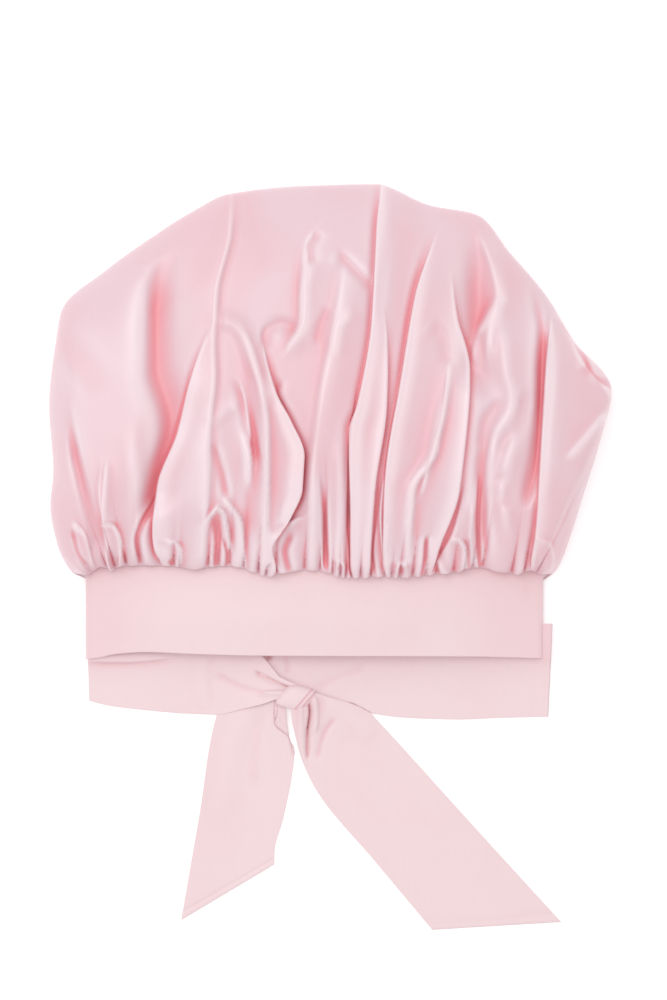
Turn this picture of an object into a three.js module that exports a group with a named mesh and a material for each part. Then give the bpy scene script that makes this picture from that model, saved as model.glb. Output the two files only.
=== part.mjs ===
// A satin sleep bonnet lying on its back: a full crown gathered into a band, whose two ends run on
// behind as ties, knotted below the band, with two free tails.
// Millimetres, +Z up from the surface it lies on, +Y from the band towards the top of the crown.
// While it is built, X = 0 is the middle of the band and Y = 0 the gathered seam on its upper edge.
import * as THREE from "three";

// Band
const BAND_LENGTH = 280; // from fold to fold, half of the way round the head
const BAND_HEIGHT = 52;
const BAND_WALL = 1.6;
const BAND_FOLD_HEIGHT = 9; // how high the two folded ends stand
const BAND_RISE = 18; // how high the near half stands halfway along

// Crown
const CROWN_HEIGHT = 238; // from the seam to the top
const CROWN_LOFT = 44; // the puffed cloth, without its folds
const CROWN_WALL = 1.2;
const LEFT_OVERHANG = 22.5; // how far the crown swells out past the end of the band
const RIGHT_OVERHANG = 42.5;
const EDGE_HEIGHT = 10; // where the turned edge of the crown stands out most
const EDGE_TUCK = 14; // how far the turned edge runs back under
const FOLD_LIFT = 9; // the highest of the long folds
const GATHER_COUNT = 22;
const GATHER_DEPTH = 2.4;
const GATHER_LENGTH = 34; // how far the gathers run up from the seam
const HEM_DROP_LEFT = 21; // how far the far hem lies below the near seam at the left end
const HEM_DROP_RIGHT = 30;
const HEM_SAG = 3; // and how much further halfway along
const HEM_INSET = 3.5; // how far in from the folded ends the hem stops
const HEM_TURN = 30; // the length over which it leaves the near seam's level there
const HEM_END_SHARE = 0.15; // how much of its drop it has at the folded ends

// Ties and knot
const TIE_WIDTH = 58;
const TIE_WALL = 1.6;
const TIE_LIFT = 2.8; // how high the ties pass over the tails beside the knot
const TIE_BUNDLE = 5; // the thickness of a tie where it is drawn together at the knot
const KNOT_LENGTH = 24;
const KNOT_WIDTH = 15;
const KNOT_THICKNESS = 11;
const KNOT_LEFT = 10.5; // its middle, from the middle of the band
const KNOT_DOWN = 75.5; // and from the seam

// Tails
const TAIL_WIDTH = 56;
const TAIL_WALL = 1.6;
const TAIL_BUNDLE = 4.5; // the thickness of a tail where it leaves the knot
const LEFT_TAIL_LENGTH = 118; // from the knot to the middle of the cut end
const RIGHT_TAIL_LENGTH = 180;
const LEFT_TAIL_ANGLE = -16; // degrees from straight down, positive to the right
const RIGHT_TAIL_ANGLE = 41.5;
const LEFT_CUT_ANGLE = 48; // degrees between the cut end and a square one
const RIGHT_CUT_ANGLE = -38.5;

const SEAM_GAP = 0.3; // between pieces that are sewn or tied together

// Forms, as shares and powers
const CREST = 0.35; // where a column of the crown is highest, as a share of its length
const FULL_COLUMN = 0.6; // a column this share of CROWN_HEIGHT long has the whole loft
const RISE_POWER = 0.75; // below 1, the cloth springs up steeply from the seam
const FALL_POWER = 0.85; // below 1, it falls late and rounds over at the turned edge
const STEEPNESS = 0.55; // how much narrower the steep side of a fold is
const FOLD_START = 0.15; // the share of a column over which a fold begins
const FOLD_END = 0.3; // and ends
const SEAM_SETTLE = 12; // the length over which the folds rise from the seam
const EDGE_SETTLE = 0.25; // how much of a fold is left at the turned edge
const TIE_GRIP = 0.72; // the width of a tie at the knot, as a share of the knot's
const KNOT_ROUND = 0.5; // below 1, the knot's outline is squarer than an ellipse

// The crown's outline from the left end of the seam round the top to the right end.
// band and over: how far out a point lies, in half lengths of the band and in overhangs.
// up: share of the crown's height. seam: where the cloth at that point starts along the seam.
const OUTLINE = [
  { band: -1, over: 0.43, up: 0.006, seam: 0 },
  { band: -1, over: 0.78, up: 0.072, seam: 0.01 },
  { band: -1, over: 0.97, up: 0.174, seam: 0.022 },
  { band: -1, over: 0.89, up: 0.263, seam: 0.032 },
  { band: -1, over: 1, up: 0.43, seam: 0.045 },
  { band: -0.974, over: 0.974, up: 0.596, seam: 0.062 },
  { band: -0.951, over: 0.951, up: 0.678, seam: 0.075 },
  { band: -0.793, over: 0.793, up: 0.775, seam: 0.105 },
  { band: -0.638, over: 0.638, up: 0.852, seam: 0.135 },
  { band: -0.469, over: 0.469, up: 0.926, seam: 0.185 },
  { band: -0.326, over: 0.326, up: 0.974, seam: 0.25 },
  { band: -0.055, over: 0.055, up: 0.995, seam: 0.405 },
  { band: 0.213, over: 0.213, up: 1, seam: 0.615 },
  { band: 0.387, over: 0.387, up: 0.946, seam: 0.67 },
  { band: 0.548, over: 0.548, up: 0.921, seam: 0.75 },
  { band: 0.655, over: 0.655, up: 0.826, seam: 0.83 },
  { band: 0.782, over: 0.782, up: 0.711, seam: 0.92 },
  { band: 0.873, over: 0.873, up: 0.596, seam: 0.962 },
  { band: 1, over: 1, up: 0.468, seam: 0.978 },
  { band: 1, over: 0.81, up: 0.327, seam: 0.984 },
  { band: 1, over: 0.586, up: 0.199, seam: 0.989 },
  { band: 1, over: 0.43, up: 0.11, seam: 0.993 },
  { band: 1, over: 0.27, up: 0.02, seam: 1 },
];

// The long folds of the crown's near side. A fold runs from its place at the seam to its place at
// the outline, both counted across the crown from 0 to 1, and is there between two shares of that
// way. lift: share of FOLD_LIFT, negative for a hollow. wide: share of the way across the crown.
// steep: -1 where its left side is the steep one, 1 where the right side is.
const FOLDS = [
  { seam: 0.08, top: 0.075, from: 0, to: 0.8, lift: 0.45, wide: 0.03, steep: 0 },
  { seam: 0.147, top: 0.2, from: 0, to: 0.65, lift: 0.5, wide: 0.03, steep: 0 },
  { seam: 0.205, top: 0.215, from: 0, to: 0.85, lift: 0.45, wide: 0.03, steep: 0 },
  { seam: 0.24, top: 0.256, from: 0.12, to: 0.97, lift: -0.8, wide: 0.026, steep: 0 },
  { seam: 0.272, top: 0.36, from: 0, to: 0.75, lift: 0.8, wide: 0.035, steep: -1 },
  { seam: 0.335, top: 0.34, from: 0.08, to: 1, lift: -0.4, wide: 0.016, steep: 0 },
  { seam: 0.43, top: 0.31, from: 0, to: 0.72, lift: 0.7, wide: 0.022, steep: 0 },
  { seam: 0.475, top: 0.37, from: 0, to: 0.65, lift: 0.7, wide: 0.026, steep: 1 },
  { seam: 0.43, top: 0.51, from: 0.5, to: 0.98, lift: 0.45, wide: 0.024, steep: 0 },
  { seam: 0.516, top: 0.53, from: 0, to: 0.4, lift: 0.5, wide: 0.018, steep: 0 },
  { seam: 0.548, top: 0.583, from: 0.1, to: 1, lift: -0.5, wide: 0.014, steep: 0 },
  { seam: 0.572, top: 0.59, from: 0, to: 0.75, lift: 0.8, wide: 0.02, steep: 0 },
  { seam: 0.625, top: 0.65, from: 0, to: 0.97, lift: 0.8, wide: 0.024, steep: -1 },
  { seam: 0.69, top: 0.7, from: 0, to: 0.85, lift: 0.8, wide: 0.026, steep: 1 },
  { seam: 0.74, top: 0.68, from: 0.5, to: 0.97, lift: -0.6, wide: 0.02, steep: 0 },
  { seam: 0.748, top: 0.752, from: 0, to: 0.9, lift: 0.7, wide: 0.022, steep: 0 },
  { seam: 0.785, top: 0.8, from: 0.02, to: 0.6, lift: -0.5, wide: 0.016, steep: 0 },
  { seam: 0.815, top: 0.8, from: 0, to: 0.9, lift: 0.5, wide: 0.022, steep: 0 },
  { seam: 0.855, top: 0.826, from: 0.25, to: 0.97, lift: -0.5, wide: 0.018, steep: 0 },
  { seam: 0.885, top: 0.86, from: 0, to: 0.95, lift: 0.5, wide: 0.03, steep: -1 },
  { seam: 0.94, top: 0.93, from: 0, to: 0.9, lift: 0.25, wide: 0.022, steep: 0 },
];

// A tie from where the hem has turned to the knot. along: share of that way. dip: how far its
// upper edge has come down from the hem to the knot. sag: how far its lower edge hangs below the
// straight way, in tie widths. lift and full: shares of TIE_LIFT and of the way to TIE_BUNDLE.
const LEFT_TIE = [
  { along: 0, dip: 0, sag: 0.09, lift: 0, full: 0 },
  { along: 0.34, dip: 0.01, sag: 0.14, lift: 0.1, full: 0 },
  { along: 0.57, dip: 0.1, sag: 0.15, lift: 0.9, full: 0.1 },
  { along: 0.76, dip: 0.38, sag: 0.09, lift: 1, full: 0.3 },
  { along: 0.9, dip: 0.75, sag: 0.03, lift: 1, full: 0.7 },
  { along: 1, dip: 1, sag: 0, lift: 1, full: 1 },
];
const RIGHT_TIE = [
  { along: 0, dip: 0, sag: 0.07, lift: 0, full: 0 },
  { along: 0.18, dip: 0.01, sag: 0.13, lift: 0, full: 0 },
  { along: 0.5, dip: 0.08, sag: 0.18, lift: 0.1, full: 0 },
  { along: 0.7, dip: 0.2, sag: 0.15, lift: 0.9, full: 0.1 },
  { along: 0.865, dip: 0.5, sag: 0.07, lift: 1, full: 0.4 },
  { along: 1, dip: 1, sag: 0, lift: 1, full: 1 },
];

// A tail from the knot to its cut end. along: share of its length. drift: how far its middle lies
// to the right of the straight way, in tail widths. spread: how much of its width lies open.
// turn: share of the cut angle. full: share of the way from TAIL_WALL to TAIL_BUNDLE.
const LEFT_TAIL = [
  { along: 0, drift: 0, spread: 0.16, turn: 0, full: 1 },
  { along: 0.051, drift: -0.178, spread: 0.54, turn: 0, full: 0 },
  { along: 0.125, drift: -0.263, spread: 0.81, turn: 0, full: 0 },
  { along: 0.279, drift: -0.176, spread: 0.924, turn: 0.29, full: 0 },
  { along: 0.563, drift: -0.106, spread: 0.924, turn: 0.31, full: 0 },
  { along: 0.807, drift: -0.06, spread: 0.94, turn: 0.54, full: 0 },
  { along: 1, drift: 0, spread: 1.163, turn: 1, full: 0 },
];
const RIGHT_TAIL = [
  { along: 0, drift: 0, spread: 0.16, turn: 0, full: 1 },
  { along: 0.061, drift: 0.03, spread: 0.59, turn: 0.24, full: 0 },
  { along: 0.161, drift: 0.047, spread: 0.91, turn: 0.19, full: 0 },
  { along: 0.264, drift: 0.01, spread: 1.015, turn: 0.1, full: 0 },
  { along: 0.445, drift: 0.007, spread: 1.04, turn: 0.21, full: 0 },
  { along: 0.721, drift: 0, spread: 1.17, turn: 0.62, full: 0 },
  { along: 1, drift: 0, spread: 1.41, turn: 1, full: 0 },
];

// How finely the pieces are divided
const CROWN_COLUMNS = 84;
const RISE_STEPS = 6; // from the seam to the highest line of a column
const FALL_STEPS = 9; // from there to the turned edge
const TUCK_STEPS = 3; // round under it
const FLAT_STEPS = 4; // and back to the hem
const STRIP_STEPS = 6; // across the band, a tie or a tail
const FOLD_STEPS = 4; // round a folded end
const BAND_STEPS = 22; // along the near half
const KNOT_SIDES = 16;
const KNOT_RINGS = 8;

const HALF_BAND = BAND_LENGTH / 2;
const FOLD_RADIUS = BAND_FOLD_HEIGHT / 2;
const QUARTER = Math.PI / 2;

const mix = THREE.MathUtils.lerp;
const radians = THREE.MathUtils.degToRad;
const step = THREE.MathUtils.smoothstep;

function spaced(count) {
  return Array.from({ length: count + 1 }, (_, i) => i / count);
}

// The value of one column of a table at a place, smooth and never past the rows on its two sides.
function valueAt(rows, key, place) {
  const last = rows.length - 2;
  let i = 0;
  while (i < last && place > rows[i + 1].place) i += 1;
  const slope = (k) =>
    (rows[k + 1][key] - rows[k][key]) / (rows[k + 1].place - rows[k].place);
  const lean = (k) => {
    if (k === 0) return slope(0);
    if (k === last + 1) return slope(last);
    const before = slope(k - 1);
    const after = slope(k);
    return before * after > 0 ? (2 * before * after) / (before + after) : 0;
  };
  const long = rows[i + 1].place - rows[i].place;
  const t = (place - rows[i].place) / long;
  const start = (1 + 2 * t) * (1 - t) * (1 - t);
  const leave = t * (1 - t) * (1 - t);
  const arrive = t * t * (t - 1);
  return (
    start * rows[i][key] +
    (1 - start) * rows[i + 1][key] +
    long * (leave * lean(i) + arrive * lean(i + 1))
  );
}

// Half of the folded end of the band, as seen along the band: the height over or under its middle
// at a distance in from the end.
function foldArc(inset) {
  const free = Math.max(FOLD_RADIUS - Math.max(inset, 0), 0);
  return Math.sqrt(FOLD_RADIUS * FOLD_RADIUS - free * free);
}

// The outer face of the near half of the band, and of the far half, at a distance along X.
function nearHeight(x) {
  const inset = HALF_BAND - Math.abs(x);
  const share = THREE.MathUtils.clamp(
    (inset - FOLD_RADIUS) / (HALF_BAND - FOLD_RADIUS),
    0,
    1,
  );
  const swell = Math.sin(share * QUARTER);
  return FOLD_RADIUS + foldArc(inset) + (BAND_RISE - BAND_FOLD_HEIGHT) * swell;
}

function farHeight(x) {
  return FOLD_RADIUS - foldArc(HALF_BAND - Math.abs(x));
}

function hemDrop(x) {
  return mix(HEM_DROP_LEFT, HEM_DROP_RIGHT, x / BAND_LENGTH + 0.5);
}

// The hem on the far side of the crown, where the ties are sewn on.
function hemLine(x) {
  const inset = HALF_BAND - Math.abs(x);
  const turned = mix(HEM_END_SHARE, 1, Math.min(inset / HEM_TURN, 1));
  const sag = HEM_SAG * Math.cos((x / HALF_BAND) * QUARTER);
  return -hemDrop(x) * turned - sag;
}

// Two matching grids of points, an outer and an inner face, closed round their four edges.
function closedBody(outer, inner) {
  const rows = outer.length;
  const across = outer[0].length;
  const points = [...outer.flat(), ...inner.flat()];
  const behind = rows * across;
  const faces = [];
  const quad = (a, b, c, d) => faces.push(a, b, c, a, c, d);
  for (let i = 0; i + 1 < rows; i += 1) {
    for (let j = 0; j + 1 < across; j += 1) {
      const a = i * across + j;
      const b = a + 1;
      const c = b + across;
      const d = a + across;
      quad(a, b, c, d);
      quad(behind + d, behind + c, behind + b, behind + a);
    }
  }
  const rim = [];
  for (let j = 0; j + 1 < across; j += 1) rim.push(j);
  for (let i = 0; i + 1 < rows; i += 1) rim.push(i * across + across - 1);
  for (let j = across - 1; j > 0; j -= 1) rim.push((rows - 1) * across + j);
  for (let i = rows - 1; i > 0; i -= 1) rim.push(i * across);
  rim.forEach((a, i) => {
    const b = rim[(i + 1) % rim.length];
    quad(b, a, behind + a, behind + b);
  });
  return facingOut(points, faces);
}

function facingOut(points, faces) {
  let volume = 0;
  const side = new THREE.Vector3();
  for (let i = 0; i < faces.length; i += 3) {
    const [a, b, c] = [points[faces[i]], points[faces[i + 1]], points[faces[i + 2]]];
    volume += side.crossVectors(b, c).dot(a);
  }
  if (volume < 0) faces.reverse();
  const geometry = new THREE.BufferGeometry().setFromPoints(points);
  geometry.setIndex(faces);
  geometry.computeVertexNormals();
  return geometry;
}

// The inner face of a wall whose outer face is given, with thickness(i, j) between them. side is 1
// where the wall lies on the side that the rows crossed with the columns point to, and else -1.
// Where an edge meets a neighbour the wall is square to it: rows at a folded end, and columns at a
// seam, past which no wall leans down. From the column under on, the wall lies above its face.
function innerFace(outer, thickness, side, meets = {}) {
  const { rows = [], columns = [], under = Infinity } = meets;
  const at = (i, j) => {
    const row = outer[THREE.MathUtils.clamp(i, 0, outer.length - 1)];
    return row[THREE.MathUtils.clamp(j, 0, row.length - 1)];
  };
  const along = new THREE.Vector3();
  const over = new THREE.Vector3();
  return outer.map((row, i) =>
    row.map((point, j) => {
      along.subVectors(at(i + 1, j), at(i - 1, j));
      over.subVectors(at(i, j + 1), at(i, j - 1));
      if (rows.includes(i)) along.set(0, 0, along.z);
      const inward = along.cross(over).normalize().multiplyScalar(side);
      if (columns.includes(j)) inward.setY(Math.max(inward.y, 0)).normalize();
      if (j >= under) inward.setZ(Math.abs(inward.z));
      return point.clone().addScaledVector(inward, thickness(i, j));
    }),
  );
}

// The outline's points, each with its place across the crown: halfway between its share of the
// way round the outline and its share of the way along the seam.
function outlineRows() {
  const rows = OUTLINE.map(({ band, over, up, seam }) => {
    const overhang = band < 0 ? -LEFT_OVERHANG : RIGHT_OVERHANG;
    return { x: band * HALF_BAND + over * overhang, y: up * CROWN_HEIGHT, seam };
  });
  let length = 0;
  rows.forEach((row, i) => {
    if (i > 0) length += Math.hypot(row.x - rows[i - 1].x, row.y - rows[i - 1].y);
    row.round = length;
  });
  for (const row of rows) row.place = (row.round / length + row.seam) / 2;
  return rows;
}

function foldLift(place, share) {
  let lift = 0;
  for (const fold of FOLDS) {
    const middle = mix(fold.seam, fold.top, share);
    const away = (place - middle) / fold.wide;
    const reach = 1 - STEEPNESS * fold.steep * Math.sign(away);
    const form = Math.exp(-Math.pow(away / reach, 2));
    const starts = fold.from > 0 ? step(share, fold.from, fold.from + FOLD_START) : 1;
    const ends = fold.to < 1 ? 1 - step(share, fold.to - FOLD_END, fold.to) : 1;
    lift += fold.lift * form * starts * ends;
  }
  return lift * FOLD_LIFT;
}

// One column of the crown's outer face, from the seam over the near side, round the turned edge
// and back under to the hem.
function crownColumn(rows, place) {
  const seam = THREE.MathUtils.clamp(valueAt(rows, "seam", place), 0, 1);
  const edge = new THREE.Vector2(valueAt(rows, "x", place), valueAt(rows, "y", place));
  const x = (seam - 0.5) * BAND_LENGTH;
  const start = new THREE.Vector2(x, SEAM_GAP / 2);
  const hemX = x * (1 - HEM_INSET / HALF_BAND);
  const hem = new THREE.Vector2(hemX, hemLine(hemX));
  const long = start.distanceTo(edge);
  const full = Math.min(1, long / (FULL_COLUMN * CROWN_HEIGHT));
  const seamHeight = nearHeight(x);
  const top = seamHeight + (CROWN_LOFT - seamHeight) * Math.sqrt(full);
  const edgeHeight = mix(FOLD_RADIUS, EDGE_HEIGHT, Math.sqrt(full));
  const gatherWave = Math.cos(2 * Math.PI * GATHER_COUNT * seam);

  const raised = (share, z) => {
    const away = (share * long) / GATHER_LENGTH;
    const gather = GATHER_DEPTH * gatherWave * 2 * away * Math.exp(1 - 2 * away);
    const settle = step(share * long, 0, SEAM_SETTLE) * mix(1, EDGE_SETTLE, step(share, 0.9, 1));
    const folds = foldLift(place, share) * full * settle;
    const at = start.clone().lerp(edge, share);
    return new THREE.Vector3(at.x, at.y, z + folds + gather * full);
  };
  const column = [];
  for (const t of spaced(RISE_STEPS)) {
    const rise = Math.pow(Math.sin(t * QUARTER), RISE_POWER);
    column.push(raised(CREST * Math.pow(t, 1.3), mix(seamHeight, top, rise)));
  }
  for (const t of spaced(FALL_STEPS).slice(1)) {
    const turn = t * QUARTER;
    const fall = Math.pow(Math.cos(turn), FALL_POWER);
    column.push(raised(mix(CREST, 1, Math.sin(turn)), mix(edgeHeight, top, fall)));
  }
  const under = edge.distanceTo(hem);
  const tuck = Math.min(EDGE_TUCK, 0.5 * under) / under;
  for (const t of spaced(TUCK_STEPS).slice(1)) {
    const turn = t * QUARTER;
    const at = edge.clone().lerp(hem, tuck * (1 - Math.cos(turn)));
    const floor = farHeight(hemX) * tuck;
    column.push(new THREE.Vector3(at.x, at.y, mix(edgeHeight, floor, Math.sin(turn))));
  }
  for (const t of spaced(FLAT_STEPS).slice(1)) {
    const share = mix(tuck, 1, t);
    const at = edge.clone().lerp(hem, share);
    column.push(new THREE.Vector3(at.x, at.y, farHeight(hemX) * share));
  }
  return column;
}

function crownGeometry() {
  const rows = outlineRows();
  const outer = spaced(CROWN_COLUMNS).map((place) => crownColumn(rows, place));
  const under = RISE_STEPS + FALL_STEPS + 1;
  const meets = { columns: [0, under + TUCK_STEPS + FLAT_STEPS - 1], under };
  return closedBody(outer, innerFace(outer, () => CROWN_WALL, -1, meets));
}

// The near half of the band, from the middle of one folded end over to the other.
function bandGeometry() {
  const first = SEAM_GAP / 2 / FOLD_RADIUS;
  const turned = spaced(FOLD_STEPS).map((t) => {
    const turn = mix(first, QUARTER, t);
    return HALF_BAND - FOLD_RADIUS * (1 - Math.cos(turn));
  });
  const inner = HALF_BAND - FOLD_RADIUS;
  const straight = spaced(BAND_STEPS).slice(1, -1);
  const stations = [
    ...turned.map((x) => -x),
    ...straight.map((t) => mix(-inner, inner, t)),
    ...turned.toReversed(),
  ];
  const outer = stations.map((x) =>
    spaced(STRIP_STEPS).map(
      (t) => new THREE.Vector3(x, -SEAM_GAP / 2 - t * BAND_HEIGHT, nearHeight(x)),
    ),
  );
  const folds = { rows: [0, outer.length - 1] };
  return closedBody(outer, innerFace(outer, () => BAND_WALL, 1, folds));
}

// A tie from the middle of a folded end along the surface to the knot. side: -1 left, 1 right.
function tieGeometry(rows, side) {
  const end = side * HALF_BAND;
  const knotEnd = -KNOT_LEFT + side * (KNOT_LENGTH / 2 + SEAM_GAP);
  const half = (KNOT_WIDTH * TIE_GRIP) / 2;
  const foldBottom = -hemDrop(end) - TIE_WIDTH;
  const first = SEAM_GAP / 2 / FOLD_RADIUS;
  const fold = spaced(FOLD_STEPS).map((t) => {
    const turn = mix(first, QUARTER, t);
    const x = side * (HALF_BAND - FOLD_RADIUS * (1 - Math.cos(turn)));
    return { x, dip: 0, sag: 0, lift: 0, full: 0 };
  });
  const turned = side * (HALF_BAND - HEM_TURN);
  const placed = rows.map((row) => ({ ...row, x: mix(turned, knotEnd, row.along) }));
  const stations = [...fold, ...placed];
  const top = (row) =>
    mix(hemLine(row.x) - SEAM_GAP, -KNOT_DOWN + half, row.dip);
  const bottom = (row) => {
    const share = (row.x - end) / (knotEnd - end);
    return mix(foldBottom, -KNOT_DOWN - half, share) - row.sag * TIE_WIDTH;
  };
  const outer = stations.map((row) =>
    spaced(STRIP_STEPS).map((t) => {
      const y = mix(top(row), bottom(row), t);
      return new THREE.Vector3(row.x, y, farHeight(row.x) + row.lift * TIE_LIFT);
    }),
  );
  const wall = (i, j) => mix(TIE_WALL, TIE_BUNDLE, stations[i].full * bulge(j));
  return closedBody(outer, innerFace(outer, wall, side, { rows: [0] }));
}

// How round a drawn-together strip is across its width: 0 at its two edges, 1 in the middle.
function bulge(j) {
  const across = (2 * j) / STRIP_STEPS - 1;
  return Math.sqrt(1 - across * across);
}

function knotGeometry() {
  const rings = spaced(KNOT_RINGS).slice(1, -1);
  const squared = (value, power) => Math.sign(value) * Math.pow(Math.abs(value), power);
  const points = [];
  for (const t of rings) {
    const climb = (t - 0.5) * Math.PI;
    const out = Math.pow(Math.cos(climb), KNOT_ROUND);
    for (const s of spaced(KNOT_SIDES).slice(1)) {
      const round = s * 2 * Math.PI;
      points.push(
        new THREE.Vector3(
          (KNOT_LENGTH / 2) * out * squared(Math.cos(round), KNOT_ROUND),
          (KNOT_WIDTH / 2) * out * squared(Math.sin(round), KNOT_ROUND),
          (KNOT_THICKNESS / 2) * Math.sin(climb),
        ),
      );
    }
  }
  const under = points.push(new THREE.Vector3(0, 0, -KNOT_THICKNESS / 2)) - 1;
  const over = points.push(new THREE.Vector3(0, 0, KNOT_THICKNESS / 2)) - 1;
  const faces = [];
  const topRing = (rings.length - 1) * KNOT_SIDES;
  for (let s = 0; s < KNOT_SIDES; s += 1) {
    const next = (s + 1) % KNOT_SIDES;
    faces.push(under, next, s, over, topRing + s, topRing + next);
    for (let r = 0; r < topRing; r += KNOT_SIDES) {
      faces.push(r + s, r + next, r + KNOT_SIDES + next);
      faces.push(r + s, r + KNOT_SIDES + next, r + KNOT_SIDES + s);
    }
  }
  return facingOut(points, faces);
}

// A tail from under the knot to its cut end. side: -1 left, 1 right.
function tailGeometry(rows, side, length, angle, cutAngle) {
  const start = new THREE.Vector2(
    -KNOT_LEFT + (side * KNOT_LENGTH) / 4,
    -KNOT_DOWN - KNOT_WIDTH / 2 - SEAM_GAP,
  );
  const down = new THREE.Vector2(0, -1).rotateAround(new THREE.Vector2(), radians(angle));
  const right = new THREE.Vector2(1, 0).rotateAround(new THREE.Vector2(), radians(angle));
  const floor = rows.map((row, i) => {
    const middle = start
      .clone()
      .addScaledVector(down, row.along * length)
      .addScaledVector(right, row.drift * TAIL_WIDTH);
    const turn = i === 0 ? -angle : row.turn * cutAngle;
    const over = right.clone().rotateAround(new THREE.Vector2(), radians(turn));
    return spaced(STRIP_STEPS).map((t) => {
      const at = middle.clone().addScaledVector(over, (t - 0.5) * row.spread * TAIL_WIDTH);
      return new THREE.Vector3(at.x, at.y, 0);
    });
  });
  const top = floor.map((row, i) =>
    row.map((point, j) => {
      const wall = mix(TAIL_WALL, TAIL_BUNDLE, rows[i].full * bulge(j));
      return point.clone().setZ(wall);
    }),
  );
  return closedBody(floor, top);
}

const satin = (color) =>
  new THREE.MeshStandardMaterial({ color, roughness: 0.42, metalness: 0 });
const crownSatin = satin(0xf3d3da);
const bandSatin = satin(0xf1d6d9);

function piece(name, geometry, material) {
  const mesh = new THREE.Mesh(geometry, material);
  mesh.name = name;
  return mesh;
}

const knot = piece("knot", knotGeometry(), bandSatin);
knot.position.set(-KNOT_LEFT, -KNOT_DOWN, KNOT_THICKNESS / 2);

const leftTail = tailGeometry(
  LEFT_TAIL,
  -1,
  LEFT_TAIL_LENGTH,
  LEFT_TAIL_ANGLE,
  LEFT_CUT_ANGLE,
);
const rightTail = tailGeometry(
  RIGHT_TAIL,
  1,
  RIGHT_TAIL_LENGTH,
  RIGHT_TAIL_ANGLE,
  RIGHT_CUT_ANGLE,
);

const bonnet = new THREE.Group();
bonnet.add(
  piece("crown", crownGeometry(), crownSatin),
  piece("front_band", bandGeometry(), bandSatin),
  piece("tie_left", tieGeometry(LEFT_TIE, -1), bandSatin),
  piece("tie_right", tieGeometry(RIGHT_TIE, 1), bandSatin),
  knot,
  piece("tail_left", leftTail, bandSatin),
  piece("tail_right", rightTail, bandSatin),
);

// The origin is under the middle of the whole bonnet, on the surface it lies on.
const box = new THREE.Box3().setFromObject(bonnet);
const middle = box.getCenter(new THREE.Vector3());
bonnet.position.set(-middle.x, -middle.y, -box.min.z);

const part = new THREE.Group();
part.add(bonnet);

export default part;
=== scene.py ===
"""The satin sleep bonnet as it lies on its back: a full gathered crown, a smooth band, two ties
that run behind to a knot, and two free tails. Lengths are in metres, in the frame of the solids."""
import math

import bmesh
import bpy
import numpy as np
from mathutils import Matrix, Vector


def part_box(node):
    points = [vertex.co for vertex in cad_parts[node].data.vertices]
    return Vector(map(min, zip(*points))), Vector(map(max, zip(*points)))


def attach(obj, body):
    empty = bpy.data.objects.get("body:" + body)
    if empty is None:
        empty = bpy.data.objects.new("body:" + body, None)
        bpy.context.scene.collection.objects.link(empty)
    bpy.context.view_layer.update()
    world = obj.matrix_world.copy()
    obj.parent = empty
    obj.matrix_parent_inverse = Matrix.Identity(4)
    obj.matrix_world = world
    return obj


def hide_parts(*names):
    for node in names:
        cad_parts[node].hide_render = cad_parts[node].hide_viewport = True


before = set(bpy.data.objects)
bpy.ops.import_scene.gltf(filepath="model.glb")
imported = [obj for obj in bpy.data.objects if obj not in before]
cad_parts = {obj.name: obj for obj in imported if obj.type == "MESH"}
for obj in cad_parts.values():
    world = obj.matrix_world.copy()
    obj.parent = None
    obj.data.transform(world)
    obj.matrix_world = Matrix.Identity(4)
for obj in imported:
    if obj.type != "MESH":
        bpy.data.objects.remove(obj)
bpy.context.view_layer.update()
MM = 0.001

# The band and the crown, from the solids. SEAM is where the crown meets the band.
BAND_LOW, BAND_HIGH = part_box("front_band")
CROWN_LOW, CROWN_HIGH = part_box("crown")
BAND_LENGTH = BAND_HIGH.x - BAND_LOW.x
HALF_BAND = BAND_LENGTH / 2
MIDDLE = (BAND_HIGH.x + BAND_LOW.x) / 2
SEAM = BAND_HIGH.y
BAND_TOP = BAND_HIGH.z
CROWN_HEIGHT = CROWN_HIGH.y - SEAM
LEFT_OVERHANG = BAND_LOW.x - CROWN_LOW.x
RIGHT_OVERHANG = CROWN_HIGH.x - BAND_HIGH.x

# Heights of the soft forms. FOLD_HEIGHT is that of the band's folded ends, EDGE_HEIGHT that of the
# crown's rim, and EDGE_TUCK is how far the rim turns under. RIBBON is the doubled cloth.
FOLD_HEIGHT = 9 * MM
CROWN_LOFT = 44 * MM
EDGE_HEIGHT = 10 * MM
EDGE_TUCK = 14 * MM
CLOTH = 0.5 * MM
RIBBON = 1.4 * MM

# The crown's section. It rises to its crest at a share of the way out and falls to its rim. A
# column has its full loft where it is longer than a share of the crown's height.
CREST = 0.35
RISE_POWER = 0.75
FALL_POWER = 0.85
FULL_COLUMN = 0.6

# The crown's far cloth is sewn in along a hem below the seam, deeper at the right than at the
# left. It sags in the middle and rises towards the band's folded ends.
HEM_LEFT = 21 * MM
HEM_RIGHT = 30 * MM
HEM_SAG = 3 * MM
HEM_TURN = 30 * MM
HEM_AT_FOLD = 0.15
HEM_INSET = 3.5 * MM

# Folds and creases grow to full height over a way from the seam. In the rim, which starts at a
# share of the way out, they keep a share of it. A fold's own ends fade over FOLD_START.
FOLD_START = 0.1
FOLDS_FULL = 10 * MM
FOLDS_RIM = 0.88
FOLDS_AT_RIM = 0.25
CREASES_FULL = 3 * MM
CREASES_RIM = 0.93
CREASES_AT_RIM = 0.4
# Creases near the seam are deeper by this factor, which fades between the two distances
SEAM_CREASES = 1.5
SEAM_CREASES_FADE = (24 * MM, 55 * MM)

# How finely the crown is divided. Its columns follow the flaps that COLUMN_GUIDES numbers, its
# rows stand closer near the seam, and its heights close over the last columns at each end.
CROWN_COLUMNS = 655
RISE_ROWS = 60
FALL_ROWS = 76
TUCK_ROWS = 8
FLAT_ROWS = 5
ROW_SPACING = 1.3
CLOSING_COLUMNS = 10
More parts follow.
